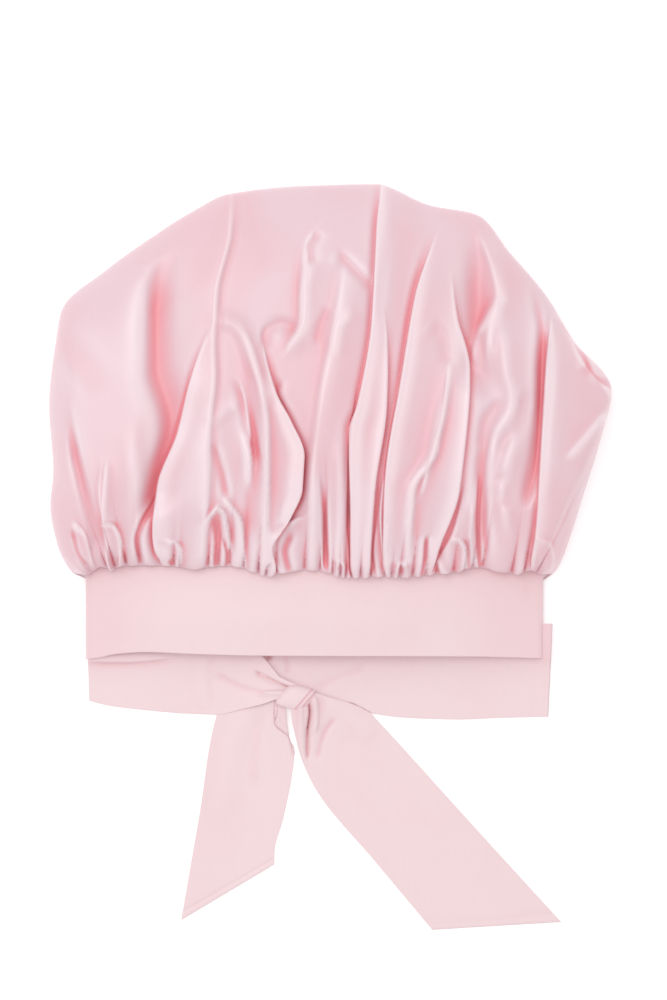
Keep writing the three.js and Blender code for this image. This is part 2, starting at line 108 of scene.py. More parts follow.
# Steps in the rounded edges of the doubled cloth
ROUNDING = 3

# The crown's outline from the left end of the seam round the top to the right end.
# band and over: how far out, in half lengths of the band and in overhangs. up: share of the
# crown's height. seam: where the cloth at that point starts along the seam.
OUTLINE = [
    {"band": -1, "over": 0.34, "up": -0.003, "seam": 0},
    {"band": -1, "over": 0.5, "up": 0.016, "seam": 0.004},
    {"band": -1, "over": 0.78, "up": 0.072, "seam": 0.01},
    {"band": -1, "over": 0.97, "up": 0.174, "seam": 0.022},
    {"band": -1, "over": 0.89, "up": 0.263, "seam": 0.032},
    {"band": -1, "over": 1, "up": 0.43, "seam": 0.045},
    {"band": -0.974, "over": 0.974, "up": 0.596, "seam": 0.062},
    {"band": -0.951, "over": 0.951, "up": 0.678, "seam": 0.075},
    {"band": -0.793, "over": 0.793, "up": 0.775, "seam": 0.105},
    {"band": -0.638, "over": 0.638, "up": 0.852, "seam": 0.135},
    {"band": -0.469, "over": 0.469, "up": 0.926, "seam": 0.185},
    {"band": -0.326, "over": 0.326, "up": 0.974, "seam": 0.25},
    {"band": -0.055, "over": 0.055, "up": 0.995, "seam": 0.405},
    {"band": 0.213, "over": 0.213, "up": 1, "seam": 0.615},
    {"band": 0.387, "over": 0.387, "up": 0.946, "seam": 0.67},
    {"band": 0.548, "over": 0.548, "up": 0.921, "seam": 0.75},
    {"band": 0.655, "over": 0.655, "up": 0.826, "seam": 0.83},
    {"band": 0.782, "over": 0.782, "up": 0.711, "seam": 0.92},
    {"band": 0.873, "over": 0.873, "up": 0.596, "seam": 0.962},
    {"band": 1, "over": 1, "up": 0.468, "seam": 0.978},
    {"band": 1, "over": 0.81, "up": 0.327, "seam": 0.984},
    {"band": 1, "over": 0.586, "up": 0.199, "seam": 0.989},
    {"band": 1, "over": 0.43, "up": 0.11, "seam": 0.993},
    {"band": 1, "over": 0.24, "up": 0.02, "seam": 0.997},
    {"band": 1, "over": 0.13, "up": -0.006, "seam": 1},
]

# The folds of the crown's near side. path: (share of the way from the seam to the outline, place
# across the crown from 0 to 1). A roll is a round ridge, or a hollow where its lift is negative,
# left and right wide. A flap is a lap of cloth that ends in an edge: edge -1 faces left, 1 right.
# It stands lift high over its neighbour, leans over it by lap and runs out over reach behind.
ROLLS = [
    {"path": [(0.58, 0.186), (0.8, 0.16), (0.97, 0.138)], "lift": -1.4, "left": 9, "right": 11},
    {"path": [(0.08, 0.1), (0.25, 0.112), (0.75, 0.125)], "lift": -5.5, "left": 9, "right": 8},
    {"path": [(0.02, 0.14), (0.21, 0.147), (0.42, 0.176)], "lift": 3.5, "left": 2.5, "right": 12},
    {"path": [(0.12, 0.235), (0.29, 0.258), (0.4, 0.272), (0.59, 0.249), (0.83, 0.247), (0.95, 0.258)],
     "lift": -10, "left": 9, "right": 16},
    {"path": [(0.0, 0.215), (0.2, 0.215), (0.5, 0.212)], "lift": 3, "left": 9, "right": 6},
    {"path": [(0.05, 0.432), (0.37, 0.419), (0.47, 0.407), (0.62, 0.372), (0.69, 0.335)],
     "lift": 4, "left": 5, "right": 2.2},
    {"path": [(0.24, 0.416), (0.36, 0.398), (0.52, 0.374)], "lift": -3.4, "left": 3, "right": 3},
    {"path": [(0.18, 0.401), (0.32, 0.396), (0.52, 0.37)], "lift": 3.5, "left": 5, "right": 1.8},
    {"path": [(0.74, 0.56), (0.86, 0.51)], "lift": -2.6, "left": 4, "right": 5},
    {"path": [(0.04, 0.487), (0.2, 0.492), (0.45, 0.503), (0.64, 0.522), (0.86, 0.54)],
     "lift": 3, "left": 4, "right": 13},
    {"path": [(0.0, 0.497), (0.15, 0.497), (0.36, 0.49)], "lift": 2.8, "left": 4, "right": 4.4},
    {"path": [(0.0, 0.515), (0.1, 0.514), (0.2, 0.513), (0.32, 0.512)],
     "lift": -2.8, "left": 1, "right": 1.4},
    {"path": [(0.0, 0.534), (0.15, 0.534), (0.42, 0.53)], "lift": 2.8, "left": 4.6, "right": 4.6},
    {"path": [(0.05, 0.652), (0.23, 0.65), (0.34, 0.676), (0.58, 0.681)],
     "lift": 3.4, "left": 5, "right": 1.8},
    {"path": [(0.5, 0.722), (0.66, 0.714), (0.8, 0.706), (0.98, 0.694)],
     "lift": -9, "left": 10, "right": 14},
    {"path": [(0.6, 0.745), (0.72, 0.738), (0.86, 0.75)], "lift": 3.4, "left": 4, "right": 6},
    {"path": [(0.02, 0.782), (0.2, 0.766), (0.34, 0.755), (0.42, 0.758), (0.58, 0.792)],
     "lift": -4.5, "left": 5, "right": 3.5},
    {"path": [(0.1, 0.815), (0.3, 0.795), (0.45, 0.8), (0.6, 0.815)], "lift": 2.6, "left": 5, "right": 6},
    {"path": [(0.22, 0.836), (0.42, 0.842), (0.59, 0.838), (0.75, 0.829), (0.93, 0.822)],
     "lift": -4.5, "left": 6, "right": 3.5},
    {"path": [(0.88, 0.878), (0.95, 0.882), (1.0, 0.876)], "lift": -3, "left": 3, "right": 3},
    {"path": [(0.0, 0.935), (0.3, 0.93), (0.6, 0.925)], "lift": -2, "left": 8, "right": 8},
]
FLAPS = [
    {"path": [(0.0, 0.257), (0.1, 0.249), (0.24, 0.256), (0.37, 0.284), (0.57, 0.305), (0.66, 0.32)],
     "edge": -1, "lift": 6, "lap": 3.4, "reach": 24, "soft": 0.8},
    {"path": [(0.0, 0.338), (0.24, 0.336), (0.38, 0.332), (0.49, 0.335), (0.61, 0.329), (0.73, 0.328),
              (0.89, 0.341), (1.0, 0.339)],
     "edge": 1, "lift": 2.2, "lap": 0.5, "reach": 14, "soft": 1.8},
    {"path": [(0.0, 0.456), (0.07, 0.44), (0.14, 0.464), (0.21, 0.478), (0.29, 0.478), (0.39, 0.454),
              (0.47, 0.428), (0.62, 0.405)],
     "edge": 1, "lift": 6.5, "lap": 4, "reach": 13},
    {"path": [(0.54, 0.43), (0.58, 0.444), (0.65, 0.464), (0.78, 0.46), (0.86, 0.466), (0.93, 0.5)],
     "edge": -1, "lift": 3, "lap": 0, "reach": 24, "soft": 3},
    {"path": [(0.0, 0.553), (0.14, 0.552), (0.37, 0.546), (0.43, 0.557), (0.65, 0.577), (1.0, 0.582)],
     "edge": -1, "lift": 4.6, "lap": 2.4, "reach": 9},
    {"path": [(0.0, 0.582), (0.21, 0.587), (0.43, 0.6), (0.61, 0.598), (0.7, 0.592)],
     "beyond": [(1.0, 0.61)], "edge": 1, "lift": 2.8, "lap": 1.6, "reach": 8},
    {"path": [(0.0, 0.612), (0.24, 0.605), (0.51, 0.617), (0.75, 0.626), (0.95, 0.642)],
     "edge": -1, "lift": 4.4, "lap": 2.2, "reach": 15},
    {"path": [(0.0, 0.694), (0.05, 0.699), (0.24, 0.722), (0.42, 0.72), (0.58, 0.712), (0.7, 0.683),
              (0.84, 0.667)],
     "edge": 1, "lift": 3.6, "lap": 1.8, "reach": 14},
    {"path": [(0.0, 0.875), (0.1, 0.872), (0.38, 0.854), (0.76, 0.837), (0.97, 0.83)],
     "edge": -1, "lift": 5.5, "lap": 2.6, "reach": 22},
]
COLUMN_GUIDES = (0, 2, 4, 5, 6, 7, 8)

# Every flap's edge. TROUGH_DEPTH and EDGE_BEAD are shares of its lift, and EDGE_BACK is the share
# of its lap by which the edge starts behind its path before it leans over.
FLAP_EDGE = 0.8 * MM
FLAP_TROUGH = 3 * MM
LAP_WIDTH = 2.4 * MM
TROUGH_DEPTH = 0.3
EDGE_BEAD = 0.16
EDGE_BACK = 0.8
RUN_OUT_POWER = 1.5

# Short creases, dents and hooked gathers on the near side. path: (x, y) from the middle of the
# seam. left and right: how wide a crease falls off on each side of its path, seen along it.
CROWN_CREASES = [
    {"path": [(-3, 186), (-7, 173), (-8, 150), (-17, 135)], "lift": 1.6, "left": 5, "right": 2.4},
    {"path": [(2, 207), (-3, 197), (-2, 188)], "lift": -1.6, "left": 3.5, "right": 2},
    {"path": [(15, 193), (24, 184), (35, 174)], "lift": -2.2, "left": 3, "right": 4.5},
    {"path": [(-31, 138), (-30, 147), (-21, 152), (-11, 150)], "lift": -2.4, "left": 2.5, "right": 6},
    {"path": [(-60, 154), (-48, 150), (-40, 138), (-34, 118)], "lift": 2.6, "left": 5, "right": 4},
    {"path": [(-38, 130), (-32, 110), (-29, 87), (-29, 45)], "lift": 2, "left": 3, "right": 1.6},
    {"path": [(-47, 114), (-44, 106), (-41, 87), (-35, 72)], "lift": -2.4, "left": 1.6, "right": 3},
    {"path": [(-61, 78), (-56, 62), (-53, 47)], "lift": -1.8, "left": 1.6, "right": 3},
    {"path": [(-62, 90), (-55, 97), (-47, 102)], "lift": 1.2, "left": 4, "right": 3},
    {"path": [(8, 160), (4, 152), (1, 140)], "lift": -1.4, "left": 3, "right": 3.5},
    {"path": [(22, 158), (14, 148), (12, 132)], "lift": 1.4, "left": 5, "right": 4},
    {"path": [(-20, 116), (-24, 108), (-18, 98)], "lift": -1.3, "left": 2.4, "right": 3},
    {"path": [(71, 150), (78, 143), (80, 128)], "lift": -1.8, "left": 5, "right": 6},
    {"path": [(81, 122), (78, 98), (72, 77), (68, 62), (64, 48)], "lift": 2, "left": 2.5, "right": 0.9},
    {"path": [(101, 208), (109, 184), (112, 168), (106, 156), (98, 138), (95, 120)],
     "lift": 2.8, "left": 7, "right": 3},
    {"path": [(111, 165), (114, 148), (116, 124), (120, 106), (115, 94), (104, 82), (104, 68)],
     "lift": 2.4, "left": 6, "right": 5},
    {"path": [(112, 104), (103, 94), (100, 78)], "lift": -2, "left": 4, "right": 4},
    {"path": [(128, 110), (124, 92), (112, 76)], "lift": -1.6, "left": 5, "right": 4},
    {"path": [(112, 166), (106, 156), (100, 146)], "lift": 1.4, "left": 2.4, "right": 3},
    {"path": [(134, 168), (138, 148), (139, 124), (137, 96)], "lift": -2, "left": 2.5, "right": 3.5},
    {"path": [(150, 152), (157, 144), (165, 129), (176, 116), (183, 113)],
     "lift": -2.8, "left": 2.8, "right": 1.3},
    {"path": [(178, 99), (166, 85), (153, 70)], "lift": 1.3, "left": 6, "right": 2.2},
    {"path": [(-126, 66), (-127, 50), (-128, 32)], "lift": 1.6, "left": 3, "right": 0.9},
    {"path": [(-147, 26), (-144, 13), (-138, 4)], "lift": -2.2, "left": 1.6, "right": 1.4},
    {"path": [(-145, 30), (-139, 23), (-137, 15), (-134, 2)], "lift": 2, "left": 1.2, "right": 2.4},
    {"path": [(-128, 29), (-123, 30), (-119, 26), (-117, 17), (-117, 6)],
     "lift": 2.4, "left": 1, "right": 2.6},
    {"path": [(-127, 14), (-123, 3), (-119, 4), (-118, 12)], "lift": 1.8, "left": 1, "right": 1},
    {"path": [(-96, 46), (-106, 28), (-108, 20), (-106, 6)], "lift": -2.6, "left": 3, "right": 1.2},
    {"path": [(-90, 20), (-84, 19), (-81, 14), (-82, 7), (-85, 3)], "lift": 2, "left": 1, "right": 2},
    {"path": [(-88, 10), (-86, 3)], "lift": -2.6, "left": 1.6, "right": 1.6},
    {"path": [(-65, 32), (-59, 40), (-55, 37), (-53, 29), (-51, 16)],
     "lift": 2.4, "left": 1, "right": 2.6},
    {"path": [(-60, 33), (-59, 20), (-61, 6)], "lift": -2.6, "left": 2.4, "right": 2},
    {"path": [(-67, 4), (-64, 4), (-62, 11)], "lift": 1.8, "left": 1.1, "right": 1.1},
    {"path": [(-55, 21), (-53, 12), (-55, 3)], "lift": -2, "left": 1.2, "right": 1.2},
    {"path": [(-54, 46), (-44, 30), (-42, 4)], "lift": 2, "left": 0.9, "right": 5},
    {"path": [(-7, 34), (-18, 30), (-25, 21), (-27, 13), (-23, 4), (-18, 1)],
     "lift": 2.6, "left": 3.5, "right": 1},
    {"path": [(-14, 24), (-18, 14), (-15, 4)], "lift": -1.8, "left": 2.4, "right": 2.4},
    {"path": [(5, 57), (6, 39), (7, 21), (8, 4)], "lift": -2.4, "left": 1.2, "right": 1.6},
    {"path": [(14, 3), (14, 8), (18, 8), (18, 3)], "lift": 1.8, "left": 1, "right": 1},
    {"path": [(25.5, 106), (22.5, 80), (21.2, 55), (20.8, 30)], "lift": -2.6, "left": 0.8, "right": 0.8},
    {"path": [(21, 48), (21, 30), (23, 17), (24, 3)], "lift": -1.6, "left": 1, "right": 1.4},
    {"path": [(39, 56), (36, 30), (34, 14), (37, 2)], "lift": -1.4, "left": 1.4, "right": 0.9},
    {"path": [(42, 57), (40, 34), (42, 12)], "lift": 2, "left": 2.6, "right": 1},
    {"path": [(50, 2), (51, 7), (55, 7), (56, 2)], "lift": 2.2, "left": 1.1, "right": 1.1},
    {"path": [(68, 22), (67, 10), (65, 1)], "lift": -2.4, "left": 1.2, "right": 1.2},
    {"path": [(89, 51), (83, 26), (75, 12), (69, 2)], "lift": -1.2, "left": 1, "right": 2},
    {"path": [(84, 21), (89, 20), (92, 14), (92, 5), (86, -1), (77, 4), (74, 10)],
     "lift": 2.6, "left": 1, "right": 2.6},
    {"path": [(100, 57), (99, 30), (101, 4)], "lift": -2.2, "left": 1.4, "right": 1.1},
    {"path": [(96, 40), (95, 22), (97, 6)], "lift": 1.6, "left": 1.4, "right": 1.4},
    {"path": [(111, 60), (117, 52), (115, 40)], "lift": -1.5, "left": 5, "right": 4},
    {"path": [(136, 21), (142, 18), (145, 9), (143, 0)], "lift": 1.7, "left": 1.6, "right": 2.8},
]

# The puckers between the crown and its seam, from left to right. to: where a pucker ends along
# the seam. high: how far it swells up. long: how far it runs up the crown. drop: how far it hangs
# over the band, below 0 where it starts above the straight seam. All three in millimetres.
PUCKERS = [
    {"to": 0.014, "high": 2.2, "long": 18, "drop": 1},
    {"to": 0.05, "high": 2.6, "long": 22, "drop": -4},
    {"to": 0.066, "high": 3, "long": 12, "drop": -1.6},
    {"to": 0.09, "high": 3.4, "long": 24, "drop": -4.4},
    {"to": 0.118, "high": 2, "long": 16, "drop": -4.4},
    {"to": 0.164, "high": 2.4, "long": 12, "drop": -4.6},
    {"to": 0.194, "high": 3, "long": 14, "drop": -4.4},
    {"to": 0.206, "high": 1.8, "long": 9, "drop": -4.2},
    {"to": 0.268, "high": 3.4, "long": 16, "drop": -1.8},
    {"to": 0.29, "high": 2.8, "long": 20, "drop": -4},
    {"to": 0.314, "high": 3, "long": 16, "drop": -4.8},
    {"to": 0.346, "high": 3, "long": 30, "drop": -4.2},
    {"to": 0.378, "high": 3.2, "long": 26, "drop": -1.6},
    {"to": 0.394, "high": 2.6, "long": 8, "drop": 1},
    {"to": 0.412, "high": 2.8, "long": 10, "drop": 2},
    {"to": 0.478, "high": 3.6, "long": 26, "drop": -1.4},
    {"to": 0.512, "high": 2.8, "long": 15, "drop": -2},
    {"to": 0.54, "high": 2.8, "long": 13, "drop": -1.2},
    {"to": 0.556, "high": 2.4, "long": 9, "drop": 1.4},
    {"to": 0.568, "high": 2.2, "long": 9, "drop": 1.8},
    {"to": 0.582, "high": 2.6, "long": 12, "drop": 2},
    {"to": 0.6, "high": 2.6, "long": 12, "drop": 2.2},
    {"to": 0.622, "high": 3, "long": 18, "drop": 2},
    {"to": 0.654, "high": 3.2, "long": 20, "drop": 1.4},
    {"to": 0.668, "high": 2.2, "long": 8, "drop": 1.4},
    {"to": 0.684, "high": 2.4, "long": 8, "drop": 1.8},
    {"to": 0.712, "high": 3.2, "long": 22, "drop": 1.8},
    {"to": 0.74, "high": 2.6, "long": 14, "drop": 1.2},
    {"to": 0.764, "high": 2.4, "long": 9, "drop": 0.4},
    {"to": 0.802, "high": 3, "long": 14, "drop": -0.2},
    {"to": 0.826, "high": 2, "long": 9, "drop": -0.6},
    {"to": 0.844, "high": 2, "long": 10, "drop": -3},
    {"to": 0.866, "high": 2.2, "long": 14, "drop": -4.4},
    {"to": 0.93, "high": 3.6, "long": 22, "drop": -1},
    {"to": 0.956, "high": 2.6, "long": 14, "drop": 0.6},
    {"to": 0.984, "high": 3, "long": 16, "drop": -2.2},
    {"to": 1.0, "high": 2.6, "long": 12, "drop": 0.8},
]

# Every pucker. PINCH is how deep the cloth lies between two of them, BULGE_REACH how far from the
# seam they stand out most, and SEAM_GRIP how far the seam holds them down.
BULGE_REACH = 4.2 * MM
PINCH = 2.4 * MM
SEAM_GRIP = 2.5 * MM
PUCKER_RISE = 1.2
PUCKER_SWELL = 3.4 * MM
PUCKER_ROUND = 0.55
PUCKER_FADE = 1.3
DROP_SWELL = 0.3
# The columns over which the crown's lower edge is evened out
SEAM_EVENED = 9

# How strongly the painted shade in hollows and on steep walls and the painted highlight on
# rims show in the crown's colour. Two values are near the seam and further out.
BROAD_SHADE = (0.95, 0.58)
FINE_SHADE = (0.8, 0.5)
MIDDLE_SHADE = 0.4
STEEP_SHADE = 0.5
STEEP_SLOPES = (1.2, 2.6)
HOLLOW_POWER = 1.15
RIM_SHINE = 0.7


def mix(a, b, t):
    return a + (b - a) * t


def ramp(value, start, end):
    t = np.clip((value - start) / (end - start), 0, 1)
    return t * t * (3 - 2 * t)


def bell(away, wide):
    return np.exp(-((away / wide) ** 2))


def curve_through(knots, values):
    """A smooth function through the given values that never runs past its two neighbours."""
    x = np.asarray(knots, float)
    y = np.asarray(values, float)
    slope = np.diff(y) / np.diff(x)
    lean = np.concatenate(([slope[0]], np.zeros(len(x) - 2), [slope[-1]]))
    product = slope[:-1] * slope[1:]
    same = product > 0
    lean[1:-1][same] = 2 * product[same] / (slope[:-1] + slope[1:])[same]

    def at(place):
        place = np.clip(place, x[0], x[-1])
        i = np.clip(np.searchsorted(x, place, side="right") - 1, 0, len(x) - 2)
        long = x[i + 1] - x[i]
        t = (place - x[i]) / long
        start = (1 + 2 * t) * (1 - t) ** 2
        leave = t * (1 - t) ** 2 * long * lean[i]
        arrive = t * t * (t - 1) * long * lean[i + 1]
        return start * y[i] + (1 - start) * y[i + 1] + leave + arrive

    return at


def near_height(x):
    """The band's near face: two folded ends and a low swell between them."""
    inset = HALF_BAND - np.abs(x)
    radius = FOLD_HEIGHT / 2
    free = np.clip(radius - np.clip(inset, 0, None), 0, None)
    arc = np.sqrt(radius**2 - free**2)
    share = np.clip((inset - radius) / (HALF_BAND - radius), 0, 1)
    return radius + arc + (BAND_TOP - FOLD_HEIGHT) * np.sin(share * math.pi / 2)


def far_height(x):
    """The far face near a folded end, where the cloth turns under."""
    radius = FOLD_HEIGHT / 2
    free = np.clip(radius - np.clip(HALF_BAND - np.abs(x), 0, None), 0, None)
    return radius - np.sqrt(radius**2 - free**2)


def hem_line(x):
    """Where the crown's far cloth is sewn in, below the seam."""
    inset = HALF_BAND - np.abs(x)
    drop = mix(HEM_LEFT, HEM_RIGHT, x / BAND_LENGTH + 0.5)
    turned = mix(HEM_AT_FOLD, 1, np.clip(inset / HEM_TURN, 0, 1))
    return -drop * turned - HEM_SAG * np.cos(x / HALF_BAND * math.pi / 2)


def finished(name, bm):
    """The piece that a bmesh makes, in the scene."""
    mesh = bpy.data.meshes.new(name)
    bm.to_mesh(mesh)
    bm.free()
    piece = bpy.data.objects.new(name, mesh)
    bpy.context.scene.collection.objects.link(piece)
    return piece


def grid_mesh(name, points, fields, closed=False):
    """A mesh over a grid of points, points[i, j], with fields of values on its points. A closed
    one is joined along its first and last column."""
    rows, columns = points.shape[:2]
    bm = bmesh.new()
    uv = bm.loops.layers.uv.new("cloth")
    bmesh.ops.create_grid(bm, x_segments=columns - 1, y_segments=rows - 1, size=0.5)
    bm.verts.ensure_lookup_table()
    for vert in bm.verts:
        j = round((vert.co.x + 0.5) * (columns - 1))
        i = round((vert.co.y + 0.5) * (rows - 1))
        vert.index = i * columns + j
    along = np.linalg.norm(np.diff(points, axis=0), axis=2).mean(1).cumsum()
    across = np.linalg.norm(np.diff(points, axis=1), axis=2).mean(0).cumsum()
    along = np.concatenate(([0], along))
    across = np.concatenate(([0], across))
    for face in bm.faces:
        face.smooth = True
        for loop in face.loops:
            i, j = divmod(loop.vert.index, columns)
            loop[uv].uv = (across[j], along[i])
    flat = points.reshape(-1, 3)
    for vert in bm.verts:
        vert.co = flat[vert.index]
    for key, field in fields.items():
        layer = bm.verts.layers.float.new(key)
        values = field.ravel().tolist()
        for vert in bm.verts:
            vert[layer] = values[vert.index]
    if closed:
        bmesh.ops.remove_doubles(bm, verts=bm.verts, dist=0.002 * MM)
        bmesh.ops.recalc_face_normals(bm, faces=bm.faces)
    return finished(name, bm)


def normals_of(points):
    down = np.gradient(points, axis=0)
    over = np.gradient(points, axis=1)
    normal = np.cross(down, over)
    return normal / np.maximum(np.linalg.norm(normal, axis=2, keepdims=True), 1e-12)


def blurred(field, reach):
    """The field evened out over so many columns."""
    kernel = np.exp(-((np.arange(-2 * reach, 2 * reach + 1) / reach) ** 2))
    kernel /= kernel.sum()
    padded = np.pad(field, ((0, 0), (2 * reach, 2 * reach)), mode="edge")
    return np.array([np.convolve(row, kernel, mode="valid") for row in padded])


def smoothed(field, reach):
    """The field evened out both ways."""
    return blurred(blurred(field, reach).T, reach).T


def rounded_ends(count, steps):
    """A quarter round from 0 up to 1 over the first steps of a row, and down again at its end."""
    from_end = np.minimum(np.arange(count), np.arange(count)[::-1])
    return np.sqrt(1 - (1 - np.clip(from_end / steps, 0, 1)) ** 2)


def outline_curves():
    """The outline's x and y and the cloth's place along the seam, over the way round it."""
    over = [LEFT_OVERHANG if row["band"] < 0 else RIGHT_OVERHANG for row in OUTLINE]
    side = [-1 if row["band"] < 0 else 1 for row in OUTLINE]
    x = np.array([r["band"] * HALF_BAND + s * r["over"] * o for r, s, o in zip(OUTLINE, side, over)])
    y = np.array([row["up"] * CROWN_HEIGHT for row in OUTLINE])
    seam = np.array([row["seam"] for row in OUTLINE], float)
    step = np.hypot(np.diff(x), np.diff(y))
    way = np.concatenate(([0], step.cumsum()))
    place = (way / way[-1] + seam) / 2
    return [curve_through(place, values) for values in (x, y, seam)]


def fold_fade(share, path):
    """1 along a fold and 0 past its two ends. A fold that reaches the seam starts at full size."""
    first, last = path[0][0], path[-1][0]
    fade = np.ones_like(share)
    if first > 0:
        fade = fade * ramp(share, first, first + FOLD_START)
    if last < 1:
        fade = fade * (1 - ramp(share, last - 2 * FOLD_START, last))
    return fade


def column_places(shares):
    """The place across the crown of each point, so that the columns run along the main flaps."""
    paths = [FLAPS[number]["path"] + FLAPS[number].get("beyond", []) for number in COLUMN_GUIDES]
    guides = [curve_through(*zip(*path)) for path in paths]
    along = np.array([[0 * share + guide(share) for guide in guides] for share in shares])
    steady = np.concatenate(([0], along.mean(axis=0), [1]))
    even = np.linspace(0, 1, CROWN_COLUMNS + 1)
    rows = [curve_through(steady, np.concatenate(([0], row, [1])))(even) for row in along]
    return np.array(rows)


def distance_from(path, share, across, places):
    """How far each point lies to the right of a fold's path, in metres across the cloth."""
    shares, at = zip(*path)
    middle = curve_through(shares, at)(share[:, 0])
    centre = [np.interp(m, place, row) for m, place, row in zip(middle, places, across)]
    return across - np.array(centre)[:, None]


def crown_folds(share, across, places):
    """The height and the sideways lean that the folds give to each point of the near side."""
    lift = np.zeros_like(share)
    lean = np.zeros_like(share)
    for roll in ROLLS:
        away = distance_from(roll["path"], share, across, places)
        wide = np.where(away < 0, roll["left"], roll["right"]) * MM
        lift += roll["lift"] * MM * bell(away, wide) * fold_fade(share, roll["path"])
    for flap in FLAPS:
        away = -flap["edge"] * distance_from(flap["path"], share, across, places)
        away -= EDGE_BACK * flap["lap"] * MM
        fade = fold_fade(share, flap["path"])
        behind = np.exp(-(np.clip(away, 0, None) / (flap["reach"] * MM)) ** RUN_OUT_POWER)
        before = bell(np.clip(away, None, 0), flap.get("soft", 0) * MM + FLAP_EDGE)
        trough = TROUGH_DEPTH * bell(away + FLAP_TROUGH, FLAP_TROUGH)
        bead = EDGE_BEAD * bell(away - FLAP_EDGE, FLAP_EDGE)
        lift += flap["lift"] * MM * (np.where(away < 0, before, behind) - trough + bead) * fade
        lean += flap["edge"] * flap["lap"] * MM * bell(away - FLAP_EDGE / 2, LAP_WIDTH) * fade
    return lift, lean


def crown_puckers(seam, out):
    """The height of the small gathers and how far they hang over the band, at a distance out."""
    ends = np.array([0] + [pucker["to"] for pucker in PUCKERS])
    phase = np.interp(seam, ends, np.arange(len(ends)))
    number = np.clip(np.floor(phase), 0, len(PUCKERS) - 1).astype(int)
    high, long, drop = (
        np.array([pucker[key] for pucker in PUCKERS])[number] * MM for key in ("high", "long", "drop")
    )
    form = np.sin((phase - number) * math.pi).clip(0, 1) ** PUCKER_ROUND
    fade = np.exp(-((out / long) ** PUCKER_FADE)) * ramp(out, 0, SEAM_GRIP)
    height = (PUCKER_RISE * high * form - PINCH) * fade
    swell = PUCKER_SWELL * form + DROP_SWELL * drop
    bulge = swell * out / BULGE_REACH * np.exp(1 - out / BULGE_REACH)
    return height, bulge


def seam_drop(seam):
    """How far below the straight seam the crown's lower edge lies."""
    ends = np.array([0] + [pucker["to"] for pucker in PUCKERS])
    middles = (ends[1:] + ends[:-1]) / 2
    drops = np.array([pucker["drop"] for pucker in PUCKERS]) * MM
    return blurred(np.interp(seam, middles, drops), SEAM_EVENED)


def rise_and_fall():
    """Each row's share of the way out, and how far it has risen from the seam or rim to the top."""
    climb = np.linspace(0, 1, RISE_ROWS + 1)
    down = np.linspace(0, 1, FALL_ROWS + 1)[1:]
    down = mix(down, np.sin(down * math.pi / 2), 0.5)
    shares = np.concatenate((CREST * climb**ROW_SPACING, mix(CREST, 1, down)))
    rise = np.sin((shares / CREST).clip(0, 1) ** (1 / ROW_SPACING) * math.pi / 2) ** RISE_POWER
    fall = (1 - down**2) ** (FALL_POWER / 2)
    return shares, np.concatenate((rise[: RISE_ROWS + 1], fall))


def far_side(rim, edge, seam_x):
    """The rows that turn under at the crown's rim and run in flat to the hem."""
    hem_x = seam_x * (1 - HEM_INSET / HALF_BAND)
    hem = np.stack([hem_x, hem_line(hem_x)], axis=1)
    under = np.linalg.norm(edge - hem, axis=1)
    tuck = np.minimum(EDGE_TUCK, 0.5 * under) / under
    way = hem - rim[:, :2]
    rows = []
    for turn in np.linspace(0, math.pi / 2, TUCK_ROWS + 1)[1:]:
        at = rim[:, :2] + way * (tuck * (1 - math.cos(turn)))[:, None]
        z = mix(rim[:, 2], far_height(hem_x) * tuck, math.sin(turn))
        rows.append(np.column_stack([at, z]))
    for share in np.linspace(0, 1, FLAT_ROWS + 1)[1:]:
        reach = mix(tuck, 1, share)
        at = rim[:, :2] + way * reach[:, None]
        rows.append(np.column_stack([at, far_height(hem_x) * reach]))
    return np.array(rows)


def sunk(form, columns, depth, spared=0):
    """How far each point lies below the form evened out over so many columns, in depths."""
    return np.clip((blurred(form, columns) - form - spared) / depth, 0, 1)


def raised(form, columns, height):
    """How far each point stands above the form evened out over so many columns, in heights."""
    return np.clip((form - blurred(form, columns)) / height, 0, 1)


def crown_shades(form, share, out, across, settle):
    """The fields of painted light that the satin's colour follows: painted shade, a deeper pink in
    hollows and on steep walls, and a painted highlight, paler on crests and rims."""
    broad = sunk(form, columns=42, depth=11 * MM, spared=1 * MM)
    broad *= mix(*BROAD_SHADE, ramp(share, 0.25, 0.7))
    middle = sunk(form, columns=15, depth=5 * MM)
    fine = sunk(form, columns=6, depth=1.3 * MM)
    fine *= mix(*FINE_SHADE, ramp(out, 20 * MM, 50 * MM))
    slope = np.abs(np.gradient(form, axis=1)) / np.gradient(across, axis=1)
    steep = ramp(slope, *STEEP_SLOPES) * settle
    # Painted shade: deeper pink in hollows and on steep walls
    painted_shade = np.clip(broad + MIDDLE_SHADE * middle + fine, 0, 1)
    painted_shade = np.clip(painted_shade + STEEP_SHADE * steep, 0, 1) ** HOLLOW_POWER
    # Painted highlight: paler on crests and rims
    crest = raised(form, columns=8, height=1.3 * MM) * (1 - steep)
    rim = raised(form, columns=3, height=0.3 * MM)
    painted_highlight = np.clip(crest + RIM_SHINE * rim, 0, 1)
    return {"painted_shade": painted_shade, "painted_highlight": painted_highlight}


